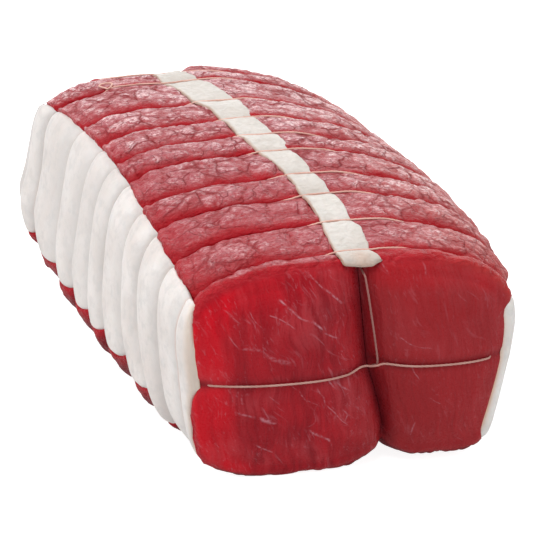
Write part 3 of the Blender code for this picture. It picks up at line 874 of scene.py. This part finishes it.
@dataclass
class Fat:
    """The two side sheets: sizes of the fat, which the meat's beds read too."""

    thick: float = 3.2
    squeeze: float = 0.35
    taper: float = 0.10
    valley: float = 3.9
    valley_first: float = 1.1
    fullness: float = 0.46
    proud: float = 0.15
    lip: float = 0.7
    per_roll: int = 26
    lead_heights: Sizes = (-1.0, -0.6, -0.3, -0.05, 0.2, 0.5, 0.7, 0.9)
    lead_left: Sizes = (5.0, 4.8, 3.4, 0.0, 0.0, 0.3, 1.6, 4.2)
    lead_right: Sizes = (0.9, 0.6, 0.5, 0.4, 0.4, 0.5, 0.8, 1.2)
    lead_fade: float = 9.5
    front_taper: float = 0.40
    foot: float = 0.8
    swell_right: float = 0.45
    end_round: float = 0.6

    def valley_at(self, y: Array, c: Array | float = 0.0) -> Array:
        """Depth of the creases: slight at the first string, full from the second, and deepest at the foot."""
        full = self.valley_first + (self.valley - self.valley_first) * eased(y, 11, 24)
        return full * (1 + self.foot * eased(c, -0.15, -0.75))

    def lead(self, side: Side, c: Array, y: Array) -> Array:
        """How far the front end is set back from the cut face, fading out behind it."""
        size = np.interp(c, self.lead_heights, self.lead_left if side is Side.LEFT else self.lead_right)
        return size * np.clip(1 - y / self.lead_fade, 0, 1)

    def own(self, side: Side, c: Array, y: Array) -> Array:
        """The sheet's own place along itself that is set back to y: the lead solved for its place."""
        size = self.lead(side, c, 0 * y)
        return np.where(y < self.lead_fade, (y - size) / (1 - size / self.lead_fade), y)

    def thickness(self, side: Side, c: Array, y: Array) -> Array:
        """Thickness: a quarter circle at each edge, squeezed under the strings and at the front."""
        lips = arc((LATTICE.top_of(side) - c) / self.taper) * arc((c - LATTICE.bard_low) / self.taper)
        front = 1 - self.front_taper * eased(y, 8, 0)
        if side is Side.RIGHT:
            front = 1 + self.swell_right * eased(c, -0.1, -0.6) * eased(y, 30, 0)
        squeeze = self.squeeze * self.valley_at(y) / self.valley
        return self.thick * lips * front * (1 - squeeze * (1 - LATTICE.crest(y)))

    def surface(self, side: Side, c: Array, y: Array) -> Array:
        """Inset of the sheet's outer face: rolls rounder than the meat's, rounded off at the edges."""
        rim = np.minimum(LATTICE.top_of(side) - c, c - LATTICE.bard_low) / 0.05
        fall = (1 - np.clip(rim, 0, 1)) ** 2
        return self.valley_at(y, c) * (1 - LATTICE.crest(y, self.fullness)) - self.proud + self.lip * fall

    def build(self, side: Side, material: Material) -> Piece:
        """One sheet as a closed skin between its outer and inner face.

        Args:
            side: which side of the roast.
            material: its finish.

        Returns:
            The piece.
        """
        top, low = LATTICE.top_of(side), LATTICE.bard_low
        c_lines = runs((low, low + 0.1, top - 0.1, top), (8, 44, 10))
        y_lines = roll_lines(self.per_roll)
        y_lines = y_lines[y_lines < LATTICE.length - 4]
        lines, faces = box_shell((np.linspace(0, 1, 5), y_lines, c_lines))
        if side is Side.RIGHT:
            faces = faces[:, ::-1]
        depth, y, c = lines.T
        ragged = c + 0.012 * noise(np.stack([y / 7, 0 * y, 0 * y], -1), 77) * eased(c, 0.3, top)
        round_off = self.end_round * (1 - arc(np.minimum(y - y_lines[0], y_lines[-1] - y) / 1.5))
        inset = self.surface(side, c, y) + round_off * (1 - depth) + self.thickness(side, c, y) * depth
        points = LATTICE.place(side.value, ragged, y + self.lead(side, c, y), inset)
        full = LATTICE.crest(y)
        lumps = 0.35 * noise(points / 16, 71 + side.value) + 0.08 * noise(points / 5, 75)
        lumps = lumps * (1 - depth) * eased(full, 0.2, 0.8)
        points = points + vertex_normals(points, faces) * lumps[:, None]
        near, inner = eased(y, 3.5, 0.3), eased(depth, 0.3, 0.9)
        if side is Side.LEFT:
            rim = 0.4 * inner + 0.5 * near
        else:
            rim = 0.3 * inner + near * (0.1 + 0.8 * eased(c, 0.2, -0.5)) * eased(depth, 0.0, 0.75)
        behind = eased(LATTICE.share(y), 0.34, 0.02) * (y > LATTICE.loops[0])
        values = {
            "crease": (0.25 + 0.30 * eased(y, 24, 12)) * (1 - eased(full, 0.15, 0.55)) * (y > 4),
            "rim": np.clip(rim, 0, 0.9),
            "shade": behind + 0.32 * eased(y, 55, 120),
        }
        return mesh_piece(f"fat_{side.name.lower()}", points, faces, material, values)


@dataclass
class TopStrip:
    """The strip of fat along the top, pinched by each string."""

    stations: Sizes = (
        0.8, 8, 16, 25, 34, 43, 53, 63, 74, 85, 97, 110, 123, 137, 152, 160, 169, 178, 188)
    left: Sizes = (
        0.120, 0.143, 0.132, 0.126, 0.102, 0.102, 0.106, 0.104, 0.103, 0.120,
        0.137, 0.150, 0.142, 0.125, 0.158, 0.150, 0.165, 0.170, 0.150)
    right: Sizes = (
        0.160, 0.098, 0.110, 0.121, 0.100, 0.110, 0.102, 0.096, 0.097, 0.083,
        0.102, 0.104, 0.098, 0.130, 0.158, 0.138, 0.140, 0.115, 0.090)
    thick: float = 1.5
    thin: float = 1.1
    proud: float = 0.55
    valley: float = 0.8
    tab: float = 1.5
    tab_cut: Sizes = (0.7, 1.5)

    def edge(self, a: Array, y: Array) -> Array:
        """Lattice distance of the strip's edge from its middle line, on the side that a is on."""
        left, right = (np.interp(y, self.stations, row) for row in (self.left, self.right))
        return np.where(a < 0, left, right)

    def insets(self, y: Array) -> tuple[Array, Array]:
        """Outer and inner depth along the roast: proud on the rolls and sunk under the strings."""
        full = LATTICE.crest(y) ** 1.3
        outer = self.valley - (self.valley + self.proud) * full
        return outer, outer + self.thin + (self.thick - self.thin) * full

    def build(self, material: Material) -> Piece:
        """The strip as a closed skin: its edges are quarter circles, and its far end spreads to the left.

        Args:
            material: its finish.

        Returns:
            The piece.
        """
        across = np.sin(np.linspace(-np.pi / 2, np.pi / 2, 29))
        y_lines = roll_lines(30)
        y_lines = y_lines[(y_lines > self.tab) & (y_lines < LATTICE.length - 1.5)]
        lines, faces = box_shell((across, y_lines, np.linspace(0, 1, 4)))
        share, y, up = lines.T
        full = LATTICE.crest(y)
        ragged = noise(np.stack([y / 8, 3 + np.sign(share), 0 * y], -1), 91, 4)
        a = share * (self.edge(share, y) + 0.014 * ragged + 0.006 * (full - 0.7))
        outer, inner = self.insets(y)
        rim = 0.15 + 0.85 * arc((1 - np.abs(share)) / 0.12)
        middle = 0.35 * outer + 0.65 * inner
        front = eased(y, self.tab + 7, self.tab)
        squared = eased(y, self.tab + 1.2, self.tab)
        inset = middle + ((1 - up) * inner + up * outer - middle) * rim + 0.35 * up * (front + squared)
        left_cut, right_cut = self.tab_cut
        y = y + squared * (left_cut * np.clip(-share, 0, 1) + right_cut * np.clip(2 * share - 1, 0, 1))
        points = LATTICE.place(a, 1.0, y, inset, 0.0)
        lumps = 0.42 * noise(points / 6, 95, 3) + 0.17 * noise(points / 2, 97)
        points = points + vertex_normals(points, faces) * (lumps * (up > 0.5) * (1 - squared))[:, None]
        values = {
            "crease": 0.30 * (1 - eased(full, 0.1, 0.5)) + 0.5 * hump(share, 0.1, 0.5) * eased(y, 9, 6),
            # rim paints a shadow line along the strip's left edge where it meets the meat; near the front it
            # tints the tab.
            "rim": 0.75 * eased(share, -0.86, -1.0) + 0.16 * eased(y, 9, self.tab) + 0.35 * squared,
            "shade": 0.25 * eased(LATTICE.share(y), 0.25, 0.0) + 1.05 * eased(y, 110, 175),
        }
        return mesh_piece("fat_strip", points, faces, material, values)


# Threads of marbling on the cut face: start and end across and up, bow, half width and strength

MARBLING = (
    (-14.9, 70.5, -9.7, 64.6, 0.3, 0.19, 0.40), (-9.9, 64.8, -4.6, 59.8, -0.3, 0.26, 0.75),
    (-24.2, 62.5, -20.0, 58.2, 0.2, 0.26, 0.80), (-20.4, 58.4, -15.0, 55.4, 0.7, 0.21, 0.60),
    (-15.4, 55.6, -12.0, 52.8, -0.2, 0.26, 0.75), (-28.1, 58.2, -21.3, 54.0, -0.5, 0.15, 0.45),
    (-34.2, 59.2, -31.1, 54.9, 0.5, 0.14, 0.35), (-36.9, 48.1, -30.0, 46.5, -0.4, 0.37, 0.32),
    (-31.0, 46.9, -22.9, 42.4, 0.9, 0.5, 0.36), (-10.3, 50.8, -6.2, 48.6, 0.2, 0.19, 0.60),
    (-41.0, 51.8, -39.0, 49.0, 0.2, 0.15, 0.35), (-38.4, 25.7, -32.5, 24.2, 0.2, 0.25, 0.50),
    (-33.0, 24.4, -27.0, 21.6, 0.4, 0.5, 0.70), (-16.3, 17.9, -9.3, 13.4, 0.2, 0.31, 0.70),
    (-32.6, 13.5, -28.1, 10.8, 0.2, 0.2, 0.50), (-13.6, 32.7, -10.8, 28.7, 0.3, 0.19, 0.45),
    (-9.5, 34.5, -6.7, 31.3, 0.2, 0.22, 0.60), (-6.7, 33.5, -2.5, 30.1, 0.3, 0.22, 0.50),
    (-19.1, 31.7, -16.3, 27.7, 0.2, 0.17, 0.45), (-4.5, 23.5, -1.0, 20.2, 0.2, 0.17, 0.50),
    (-12.2, 28.8, -8.0, 23.9, 0.4, 0.16, 0.45), (-7.3, 23.1, -3.0, 18.1, 0.4, 0.15, 0.40),
    (14.6, 46.7, 23.1, 43.4, 1.0, 0.15, 0.50), (9.0, 73.1, 10.8, 68.6, 0.4, 0.22, 0.45),
    (22.1, 71.3, 22.9, 67.6, -0.3, 0.22, 0.40), (17.7, 36.4, 19.5, 33.3, 0.2, 0.15, 0.40),
    (19.5, 15.9, 18.9, 12.1, 0.2, 0.16, 0.40), (24.2, 25.3, 26.8, 23.5, 0.2, 0.14, 0.35),
)


@dataclass
class Meat:
    """The lean joint as two lobes that meet in the cleft, with rolls, cracks and beds for the fat."""

    fat: Fat
    strip: TopStrip
    valley: float = 3.2
    foot_pull: float = 1.1
    knuckle_pull: float = 0.35
    shallow: float = 0.72
    overhang: float = 0.9
    tail: float = 2.4
    shown_from: float = 168
    shown_to: float = 200
    loose_threads: int = 46
    groove_depth: float = 3.0
    groove_mouth: float = 4.0
    groove_fade: float = 18
    notch_depth: float = 1.4
    notch_half: float = 0.06
    seam: float = 0.0015
    per_roll: int = 26
    across: int = 86
    strip_wall: float = 0.005

    def valley_depth(self, a: Array, c: Array, y: Array) -> Array:
        """Depth of the valleys: shallow beside the strip, where the strings show, and full elsewhere."""
        seen = (y > self.shown_from) & (y < self.shown_to)
        reach = np.where(seen, 0.40, 0.0)
        left = np.where(seen, 1.1, 0.7) * eased(a, -0.34 - reach, -0.15 - reach)
        near = np.where(a > 0, eased(a, 0.70, 0.22), left) * eased(c, 0.9, 1.0)
        ends = self.knuckle_pull * eased(a, -0.5, -0.9) * eased(c, 0.5, 0.9)
        foot = self.foot_pull * eased(c, -0.15, -0.75) * eased(np.abs(a), 0.7, 0.95) * eased(y, 12, 26)
        return self.valley * (1 - self.shallow * near + ends + foot)

    def groove(self, a: Array, y: Array) -> Array:
        """Depth of the groove along the underside, widest and deepest at the cut face."""
        wide = self.groove_depth + self.groove_mouth * faded(y, self.groove_fade)
        groove = wide * np.clip(1 - np.abs(a) / LATTICE.groove_half, 0, 1) ** 1.5
        return groove + self.notch_depth * np.clip(1 - np.abs(a) / self.notch_half, 0, 1)

    def depth(self, side: Side, a: Array, c: Array, y: Array) -> Array:
        """Inset of the meat: rolls, the fat's beds by |a|, and the strip's bed and the groove by height^4."""
        rear = LATTICE.length - y
        full = LATTICE.crest(y)
        tail = self.tail * eased(rear, 14, 3) * eased(a, -0.6, -0.9) * eased(c, 0.3, 0.6)
        roll = self.valley_depth(a, c, y) * (1 - full) + tail
        own = self.fat.own(side, c, y)
        sheet = np.maximum(own, 0)
        thick = self.fat.thickness(side, c, sheet)
        bed = np.maximum(self.fat.surface(side, c, sheet) + thick - 0.25 - roll, 0)
        bed = bed * (thick > 0) * eased(own, -1.2, 0.3)
        wall = np.where(a < 0, self.strip_wall, -self.strip_wall)
        under = eased(np.abs(a) - self.strip.edge(a, y), wall, wall - 0.022)
        strip = (self.strip.insets(y)[1] + 0.1 - roll) * under
        top = LATTICE.top_of(side)
        brow = self.overhang * full * eased(c, top, top + 0.04) * eased(c, 1.0, top + 0.06)
        brow = brow * eased(y, 5, 12) * eased(rear, 12, 24)
        groove = LATTICE.warp(a, c, y) ** 4 * self.groove(a, y)
        return roll + np.abs(a) * bed + np.where(c < 0, groove, c**4 * strip) - np.abs(a) ** 6 * brow

    def build(self, side: Side, material: Material) -> Piece:
        """One lobe: the shell of its half of the lattice, then relief along its normals.

        Args:
            side: which lobe.
            material: its finish.

        Returns:
            The piece.
        """
        top, low = LATTICE.top_of(side), LATTICE.bard_low
        share = np.linspace(0, 1, self.across) ** 1.25
        a_lines = np.sort(side.value * (self.seam + (1 - self.seam) * share))
        above = 5 if side is Side.LEFT else 16
        c_lines = runs((-1, low, low + 0.06, top - 0.1, top, 1), (10, 3, 28, 6, above))
        lines, faces = box_shell((a_lines, roll_lines(self.per_roll), c_lines))
        a, y, c = lines.T
        points = LATTICE.place(a, c, y, self.depth(side, a, c, y))
        relief, values = self.relief(side, a, c, y, points)
        points = points + vertex_normals(points, faces) * relief[:, None]
        points[:, 2] = np.maximum(points[:, 2], 0)
        return mesh_piece(f"meat_lobe_{side.name.lower()}", points, faces, material, values)

    def threads(self, points: Array) -> tuple[Array, Array]:
        """The nearest thread of marbling: distance beside it in half widths, and how much of it shows.

        With t the share of the way along a thread and b its bow, it lies 4 b t (1 - t) beside the straight
        line. The distance has a sign, so it is even from one side of the thread to the other and stays true
        between the mesh's points. What shows fades out at the ends and half way to the next thread.

        Args:
            points: world places.

        Returns:
            The distance and the share that shows.
        """
        chance = np.random.default_rng(7)
        rows = [*MARBLING]
        for _ in range(self.loose_threads):
            x, z = chance.uniform(-48, 50), chance.uniform(6, 74)
            turn = math.radians(chance.uniform(35, 75))
            size = chance.uniform(1.6, 4.5)
            strength = chance.uniform(0.10, 0.26) * (1.0 if x < 6 else 0.6)
            end = (x + size * math.cos(turn), z - size * math.sin(turn))
            rows.append((x, z, *end, chance.uniform(-0.5, 0.5), 0.15, strength))
        nearest = np.full(len(points), 99.0)
        second = nearest.copy()
        beside, shown = 0, 0
        for x, z, end_x, end_z, bow, width, strength in rows:
            run, rise = end_x - x, end_z - z
            length = math.hypot(run, rise)
            aside, up = points[:, 0] - x, points[:, 2] - z
            share = (aside * run + up * rise) / length**2
            signed = (aside * rise - up * run) / length - bow * np.clip(4 * share * (1 - share), 0, 1)
            past = np.maximum(np.abs(share - 0.5) - 0.5, 0) * length
            away = np.hypot(signed, 2 * past)
            nearer = away < nearest
            second = np.where(nearer, nearest, np.minimum(second, away))
            beside = np.where(nearer, signed / width, beside)
            shown = np.where(nearer, strength * eased(past, 0.9, 0), shown)
            nearest = np.minimum(nearest, away)
        return beside, shown * eased(nearest, 2.2, 1.1) * eased(second - nearest, 0.2, 1.2)

    def relief(
        self, side: Side, a: Array, c: Array, y: Array, points: Array,
    ) -> tuple[Array, dict[str, Array]]:
        """Height of lumps and cracks along the normals, and the values that the finish reads.

        Args:
            side: which lobe.
            a: lattice places across.
            c: lattice places up.
            y: places along the roast.
            points: world places.

        Returns:
            The height, and the point values by name.
        """
        crest, share = LATTICE.crest(y), LATTICE.share(y)
        front = eased(y, 2.6, 0.2)
        cut = np.maximum(front, eased(LATTICE.length - y, 5, 0.5))
        skin = 1 - cut
        bend = 0.5 * np.stack([noise(points / 8, seed) for seed in (11, 12, 13)], -1)
        edge, number = cell_edges((points / 10 + bend) * (0.75, 1.0, 1.0), 21)
        small, _ = cell_edges(points / 4.6 + 0.8 * bend, 27)
        busy = 0.35 + 0.65 * eased(noise(points / 15, 61), -0.4, 0.3)
        cobble = 0.75 * (np.clip(edge / 0.3, 0, 1) ** 0.5 - 0.6) + 0.35 * (number - 0.5)
        knuckle = 0.58 * (np.clip(small / 0.28, 0, 1) ** 0.6 - 0.6) * busy
        lumps = 0.70 * noise(points / 12, 51, 3) + 0.20 * noise(points / 3, 57)
        calm = 0.45 * noise(points / 17, 81) + 0.10 * noise(points * (1, 0.3, 0.12) / 1.6, 85)
        string_z = LATTICE.along(LATTICE.spine_z, y) - LATTICE.settle
        string_z = string_z + Tying.level_rise * LATTICE.along(LATTICE.half_top, y) * (a > 0)
        bite = hump(points[:, 2], string_z, 1.4) * front
        height = skin * eased(crest, 0.05, 0.8) * (lumps + cobble + knuckle) + cut * calm - 0.55 * bite
        height = height * eased(np.abs(a), 0.004, 0.03 + 0.2 * (c < -0.99))
        loose = noise(points / 9, 33)
        # The upturned part of each roll: where the gloss rises and the finish paints its sheen.
        top = eased(c, 0.80, 1.0)
        if side is Side.RIGHT:
            top = np.maximum(top, 0.5 * eased(c, LATTICE.top_of(side), LATTICE.top_of(side) + 0.12))
        top = top * skin * (1 - 0.40 * eased(a, -0.86, -1.0))
        first = y < LATTICE.loops[0]
        band = eased(y + 1.5 * loose, 3.0, 6.0) * (0.35 + 0.65 * eased(a, 0.0, -0.2))
        sheen_zone = top * np.where(first, band, eased(share + 0.09 * loose, 0.0, 0.20) * eased(share, 1.0, 0.985))
        sheen_zone = sheen_zone * (0.72 + 0.28 * eased(y, 15, 90))
        # Painted sheen, stronger towards the far end and on the right near the cut face.
        pale = 0.78 * eased(y, 70, 185) + 0.6 * eased(a, 0.1, 0.6) * eased(y, 0, 50)
        # Painted shade in the cleft of the cut face.
        cleft = 0.70 * hump(a, 0, 0.026) + 0.22 * hump(a, 0, 0.07)
        cleft = cleft + 0.40 * hump(a, 0.05, 0.05) * eased(c, 0.05, -0.15)
        thread, marbling = self.threads(points)
        return height, {
            "cut": cut,
            "sheen_zone": np.clip(sheen_zone, 0, 1),
            # Painted shadow in the crease under each string, where the gloss drops too.
            "groove": 0.85 * hump(crest, 0, 0.30) * skin * (y > 2),
            # Painted shade, darker towards the bottom of the skin.
            "low": eased(c, -0.62, -0.85) * skin * 0.85,
            # Painted light along the left and top edges of the cut face.
            "edge": front * (0.9 * eased(a + 0.10 * loose, -0.70, -0.99) + 0.25 * eased(c, 0.80, 1.0)),
            # Painted shade in the cleft and where the level string bites into the face.
            "dark": np.clip(cleft * cut + 0.45 * bite + 0.5 * bite * eased(a, -0.9, -0.98), 0, 1),
            "pale": np.clip(pale, 0, 1),
            # Painted shade on the front side of each roll, down into the valley.
            "slope_shade": eased(share + 0.13 * loose, 0.34, 0.02) * skin * ~first,
            # Painted shade along the seams between the lumps on the upturned skin.
            "seam": np.maximum(eased(edge, 0.10, 0.0), 0.6 * busy * eased(small, 0.11, 0.0)) * skin * top,
            "thread": thread,
            "marbling": cut * marbling,
        }


@dataclass
class Tying:
    """The strings: ten turns round the roast, a bow of slack and two lengthwise ones."""

    fat: Fat
    strip: TopStrip
    meat: Meat
    material: Material
    radius: float = 0.35
    strands: int = 2
    twist_pitch: float = 3.2
    step: float = 0.45
    sides: int = 10
    level_rise: float = 0.055

    def tube(self, name: str, path: Array, wet: float = 0.0) -> Piece:
        """A closed twisted string along a path.

        The section is a circle whose radius swells over each strand, and it turns once a pitch. Its frame
        points away from the middle of the path, square to the tangent.

        Args:
            name: the piece's name.
            path: points of a closed loop (n, 3).
            wet: how dark the string is where it is soaked at the cut face.

        Returns:
            The piece.
        """
        ring = np.vstack([path, path[:1]])
        run = np.concatenate([[0], np.cumsum(np.linalg.norm(np.diff(ring, axis=0), axis=1))])
        count = int(run[-1] / self.step)
        at = np.linspace(0, run[-1], count, endpoint=False)
        centre = np.stack([np.interp(at, run, ring[:, axis]) for axis in range(3)], -1)
        for _ in range(2):
            centre = 0.25 * np.roll(centre, 1, 0) + 0.5 * centre + 0.25 * np.roll(centre, -1, 0)
        tangent = unit(np.roll(centre, -1, 0) - np.roll(centre, 1, 0))
        out = centre - centre.mean(0)
        out = unit(out - (out * tangent).sum(1, keepdims=True) * tangent)
        across = np.cross(tangent, out)
        twist = 2 * np.pi * round(run[-1] / self.twist_pitch) * at / run[-1]
        theta = np.linspace(0, 2 * np.pi, self.sides, endpoint=False)[:, None]
        swell = np.abs(np.cos(self.strands / 2 * (theta - twist[:, None, None])))
        radius = self.radius * (0.80 + 0.26 * swell)
        points = centre[:, None] + radius * (np.cos(theta) * out[:, None] + np.sin(theta) * across[:, None])
        number = np.arange(count * self.sides).reshape(count, self.sides)
        ahead = np.roll(number, -1, 0)
        faces = np.stack([number, np.roll(number, -1, 1), np.roll(ahead, -1, 1), ahead], -1).reshape(-1, 4)
        points = points.reshape(-1, 3)
        place = points[:, 1] + LATTICE.centre_y
        # The first value paints shade in the grooves between the strands.
        values = {"strand": 1 - swell.ravel(), "wet": wet * eased(place, 30, 10)}
        return mesh_piece(name, points, faces, self.material, values)

    def loop(self, number: int) -> Piece:
        """One turn in its valley: once round the lattice's square, rising over the strip.

        Args:
            number: 0 for the turn nearest the cut face.

        Returns:
            The piece.
        """
        side = np.linspace(-1, 1, 240, endpoint=False)
        one = np.ones(len(side))
        a = np.concatenate([side, one, -side, -one])
        c = np.concatenate([one, -side, -one, side])
        y = np.full(len(a), LATTICE.loops[number])
        full = self.meat.valley
        depth = self.meat.valley_depth(a, c, y)
        valley = depth - self.radius * (0.4 + 0.9 * eased(depth, 0.85 * full, 0.4 * full))
        over = eased(np.abs(a) - self.strip.edge(a, y), 0.03, 0.0) * (c > 0.99)
        inset = valley * (1 - over) + (self.strip.valley - self.radius) * over
        inset = inset + self.meat.groove(a, y) * (c < -0.999)
        sunk = self.fat.valley_at(y, c) + 1.1 * self.radius + 1.2 * (number == 0)
        inset = np.where(np.abs(a) > 0.999, sunk, inset)
        inset = np.convolve(np.concatenate([inset[-6:], inset, inset[:6]]), np.ones(13) / 13, "valid")
        return self.tube(f"twine_turn_{number + 1:02d}", LATTICE.place(a, c, y, inset, 0.0))

    def knot(self) -> Piece:
        """The small bow of slack beside the ninth turn: an ellipse on the lattice, lying on the skin."""
        turn = np.linspace(0, 2 * np.pi, 40, endpoint=False)
        a = -0.60 + 0.045 * np.cos(turn) + 0.018 * np.sin(2 * turn)
        y = LATTICE.loops[8] + 1.4 + 2.0 * np.sin(turn)
        inset = self.meat.valley_depth(a, 1.0, y) * (1 - LATTICE.crest(y)) - 1.3 * self.radius
        return self.tube("twine_knot", LATTICE.place(a, 1.0, y, inset, 0.0))

    def upright(self) -> Piece:
        """The lengthwise string under the strip, down the cut face into the cleft and back below."""
        length = LATTICE.length
        low, dive = 4.4, 5.0
        run = np.linspace(8, length - 12, 30)
        stops = [(1.0, y, 3.9) for y in (*run, length - 4, length - 1)]
        stops += [(c, length + 0.6, 0.0) for c in (0.7, 0.3, 0.0)]
        stops += [(c, length - 3.2, 0.0) for c in (-0.3, -0.8)]
        stops += [(-1.0, y, low + dive * math.exp(-y / 10)) for y in (length - 6, *run[:1:-1])]
        stops += [(-1.0, 15, low + 7)]
        stops += [(c, 12, 0.0) for c in (-0.7, -0.3, -0.12)]
        stops += [(-0.01, 4.0, 0.0), (0.03, 0.8, 0.0)]
        stops += [(c, -0.4, 0.0) for c in (0.1, 0.2, 0.4, 0.6, 0.8)]
        stops += [(1.0, 0.9, 3.2)]
        c, y, inset = np.array(stops).T
        within = np.clip(y, 0, length)
        aside = (0.016 + 0.026 * eased(c, 1.0, 0.0)) * eased(y, 10, 2)
        return self.tube("twine_upright", LATTICE.place(aside, c, within, inset, y - within), 0.80)

    def level(self) -> Piece:
        """The lengthwise string across both cut faces and between the meat and the side fat."""
        y = roll_lines(8)
        y = y[(y > 9) & (y < LATTICE.length - 9)]
        across = np.linspace(-0.999, 0.955, 131)
        back = across[::-1]
        side, face = 0 * y, 0 * across
        thick = self.fat.thickness(Side.LEFT, side, y)
        bed = self.fat.surface(Side.LEFT, side, y) + thick + self.radius + 0.1
        dip = eased(across, -0.965, -0.999) + eased(across, 0.90, 0.955)
        a, c, places, inset, away, dip = (np.concatenate(four) for four in (
            (side - 1, across, side + 1, back),
            (side, face, side, self.level_rise * eased(back, -0.15, 0.0)),
            (y, face + LATTICE.length, y[::-1], face),
            (bed, 3.0 * np.abs(across), bed[::-1], 3.0 * np.abs(back)),
            (side, face + 1, side, face - 1),
            (side, dip, side, dip[::-1]),
        ))
        span = hump(a, 0.02, 0.07) * np.abs(away)
        shift = LATTICE.end_shift(a, c, places) * (1 - span) + away * (0.2 + 1.3 * span - 2.6 * dip)
        return self.tube("twine_level", LATTICE.place(a, c, places, inset, shift), 0.42)


@dataclass
class Studio:
    """Pale floor, soft lights and the camera at the photograph's viewing angle.

    Each light has its azimuth and elevation in degrees, its distance and width in metres, and its power.
    """

    azimuth: float = -18.0
    elevation: float = 22.0
    distance: float = 0.900
    focal_px: float = 2551.579
    frame_px: int = 540
    target: Sizes = (8.053, 91.013, 35.0)
    half_floor: float = 4000
    lights: tuple[tuple[str, float, float, float, float, float], ...] = (
        ("softbox_top", -50.0, 72.0, 0.9, 0.6, 4.6),
        ("softbox_back", 150.0, 30.0, 1.0, 1.3, 7.4),
        ("softbox_left", -107.0, 28.0, 1.6, 1.0, 11.0),
        ("softbox_front", 38.0, 25.0, 1.1, 0.8, 2.6),
    )

    def aim(self, name: str, data: bpy.types.ID, angles: Sizes, distance: float, target: Vector) -> Piece:
        """A camera or light that looks at the target from these angles and this distance.

        Args:
            name: the object's name.
            data: the camera or light.
            angles: azimuth and elevation in degrees.
            distance: metres from the target.
            target: where it looks.

        Returns:
            The object, linked to the scene.
        """
        azimuth, elevation = (math.radians(angle) for angle in angles)
        flat = math.cos(elevation)
        back = Vector((math.sin(azimuth) * flat, -math.cos(azimuth) * flat, math.sin(elevation)))
        made = bpy.data.objects.new(name, data)
        bpy.context.scene.collection.objects.link(made)
        made.location = target + back * distance
        made.rotation_euler = back.to_track_quat("Z", "Y").to_euler()
        return made

    def camera(self) -> None:
        """The camera, with the photograph's focal length on a 36 mm sensor."""
        data = bpy.data.cameras.new("camera")
        data.sensor_width = 36.0
        data.lens = self.focal_px / self.frame_px * data.sensor_width
        data.clip_start = 0.01
        x, y, z = self.target
        target = Vector((x - LATTICE.centre_x, y - LATTICE.centre_y, z)) * MM
        angles = (self.azimuth, self.elevation)
        bpy.context.scene.camera = self.aim("camera", data, angles, self.distance, target)

    def floor(self) -> None:
        """A wide pale floor under the roast."""
        corners = np.array([(-1, -1), (1, -1), (1, 1), (-1, 1)]) * self.half_floor
        points = np.column_stack([corners, np.full(4, -0.05)])
        pale = Finish("pale_floor")
        seen = pale.add("LightPath", {}, "Is Camera Ray")
        material = pale.shade(
            Base_Color=(0.5, 0.5, 0.5),
            Emission_Color=(1, 1, 1),
            Emission_Strength=seen * 0.62 + 0.28,
            Roughness=0.9,
            Specular_IOR_Level=0.1,
        )
        floor = mesh_piece("floor", points, np.array([[0, 1, 2, 3]]), material, {})

    def light(self) -> None:
        """Soft area lights round the roast and an even white surround."""
        world = bpy.data.worlds.new("surround")
        world.use_nodes = True
        world.node_tree.nodes["Background"].inputs["Color"].default_value = (1, 1, 1, 1)
        world.node_tree.nodes["Background"].inputs["Strength"].default_value = 0.2
        bpy.context.scene.world = world
        for name, azimuth, elevation, distance, size, power in self.lights:
            data = bpy.data.lights.new(name, "AREA")
            data.shape = "SQUARE"
            data.size = size
            data.energy = power
            self.aim(name, data, (azimuth, elevation), distance, Vector())

    def build(self) -> None:
        """Camera, floor and lights, with plain colours in the view."""
        self.camera()
        self.floor()
        self.light()
        bpy.context.scene.view_settings.view_transform = "Standard"


def settle_piece(piece: Piece, slot: Slot, *nodes: str) -> None:
    """Hand a piece to the frame: it rides on the roast and stands for its nodes."""
    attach(piece, "root")
    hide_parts(*nodes)
    LOG.info("%s: %d points, %d faces", piece.name, len(piece.data.vertices), len(piece.data.polygons))


def main() -> None:
    """Load the frame and build the roast and its studio."""
    logging.basicConfig(level=logging.INFO, format="%(name)s: %(message)s")
    for old in list(bpy.data.objects):
        bpy.data.objects.remove(old, do_unlink=True)
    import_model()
    Studio().build()
    effects = Effects()
    beef = RawBeef().build(effects)
    white = WhiteFat().build(effects)
    # The strip's edge colour paints the shadow line along its left edge and tints its tab.
    warm = WhiteFat(
        name="strip_fat", body=(0.71, 0.665, 0.62), shade=(0.61, 0.555, 0.505), crease=(0.62, 0.42, 0.32),
        edge=(0.50, 0.33, 0.24), grain=0.55, wrinkle=0.55, slope_shade=(0.58, 0.53, 0.48),
    ).build(effects)
    # A brighter copy of the white fat for the right side: painted light.
    lit_right_white = WhiteFat(
        name="right_fat_painted_light", body=(0.95, 0.92, 0.89), shade=(0.89, 0.85, 0.81), edge=(0.86, 0.47, 0.25),
        grain=0.18,
    ).build(effects)
    fat = Fat()
    strip = TopStrip()
    meat = Meat(fat, strip)
    tying = Tying(fat, strip, meat, Twine().build(effects))
    for side in Side:
        settle_piece(meat.build(side, beef), Slot.MEAT, "meat")
    for side, finish in ((Side.LEFT, white), (Side.RIGHT, lit_right_white)):
        settle_piece(fat.build(side, finish), Slot.FAT, f"bard_{side.name.lower()}")
    settle_piece(strip.build(warm), Slot.FAT, "bard_top")
    for number in range(len(LATTICE.loops)):
        settle_piece(tying.loop(number), Slot.TWINE, f"string_loop_{number + 1:02d}")
    settle_piece(tying.knot(), Slot.TWINE, "string_loop_09")
    settle_piece(tying.upright(), Slot.TWINE, "string_upright")
    settle_piece(tying.level(), Slot.TWINE, "string_level")


if __name__ == "__main__":
    main()
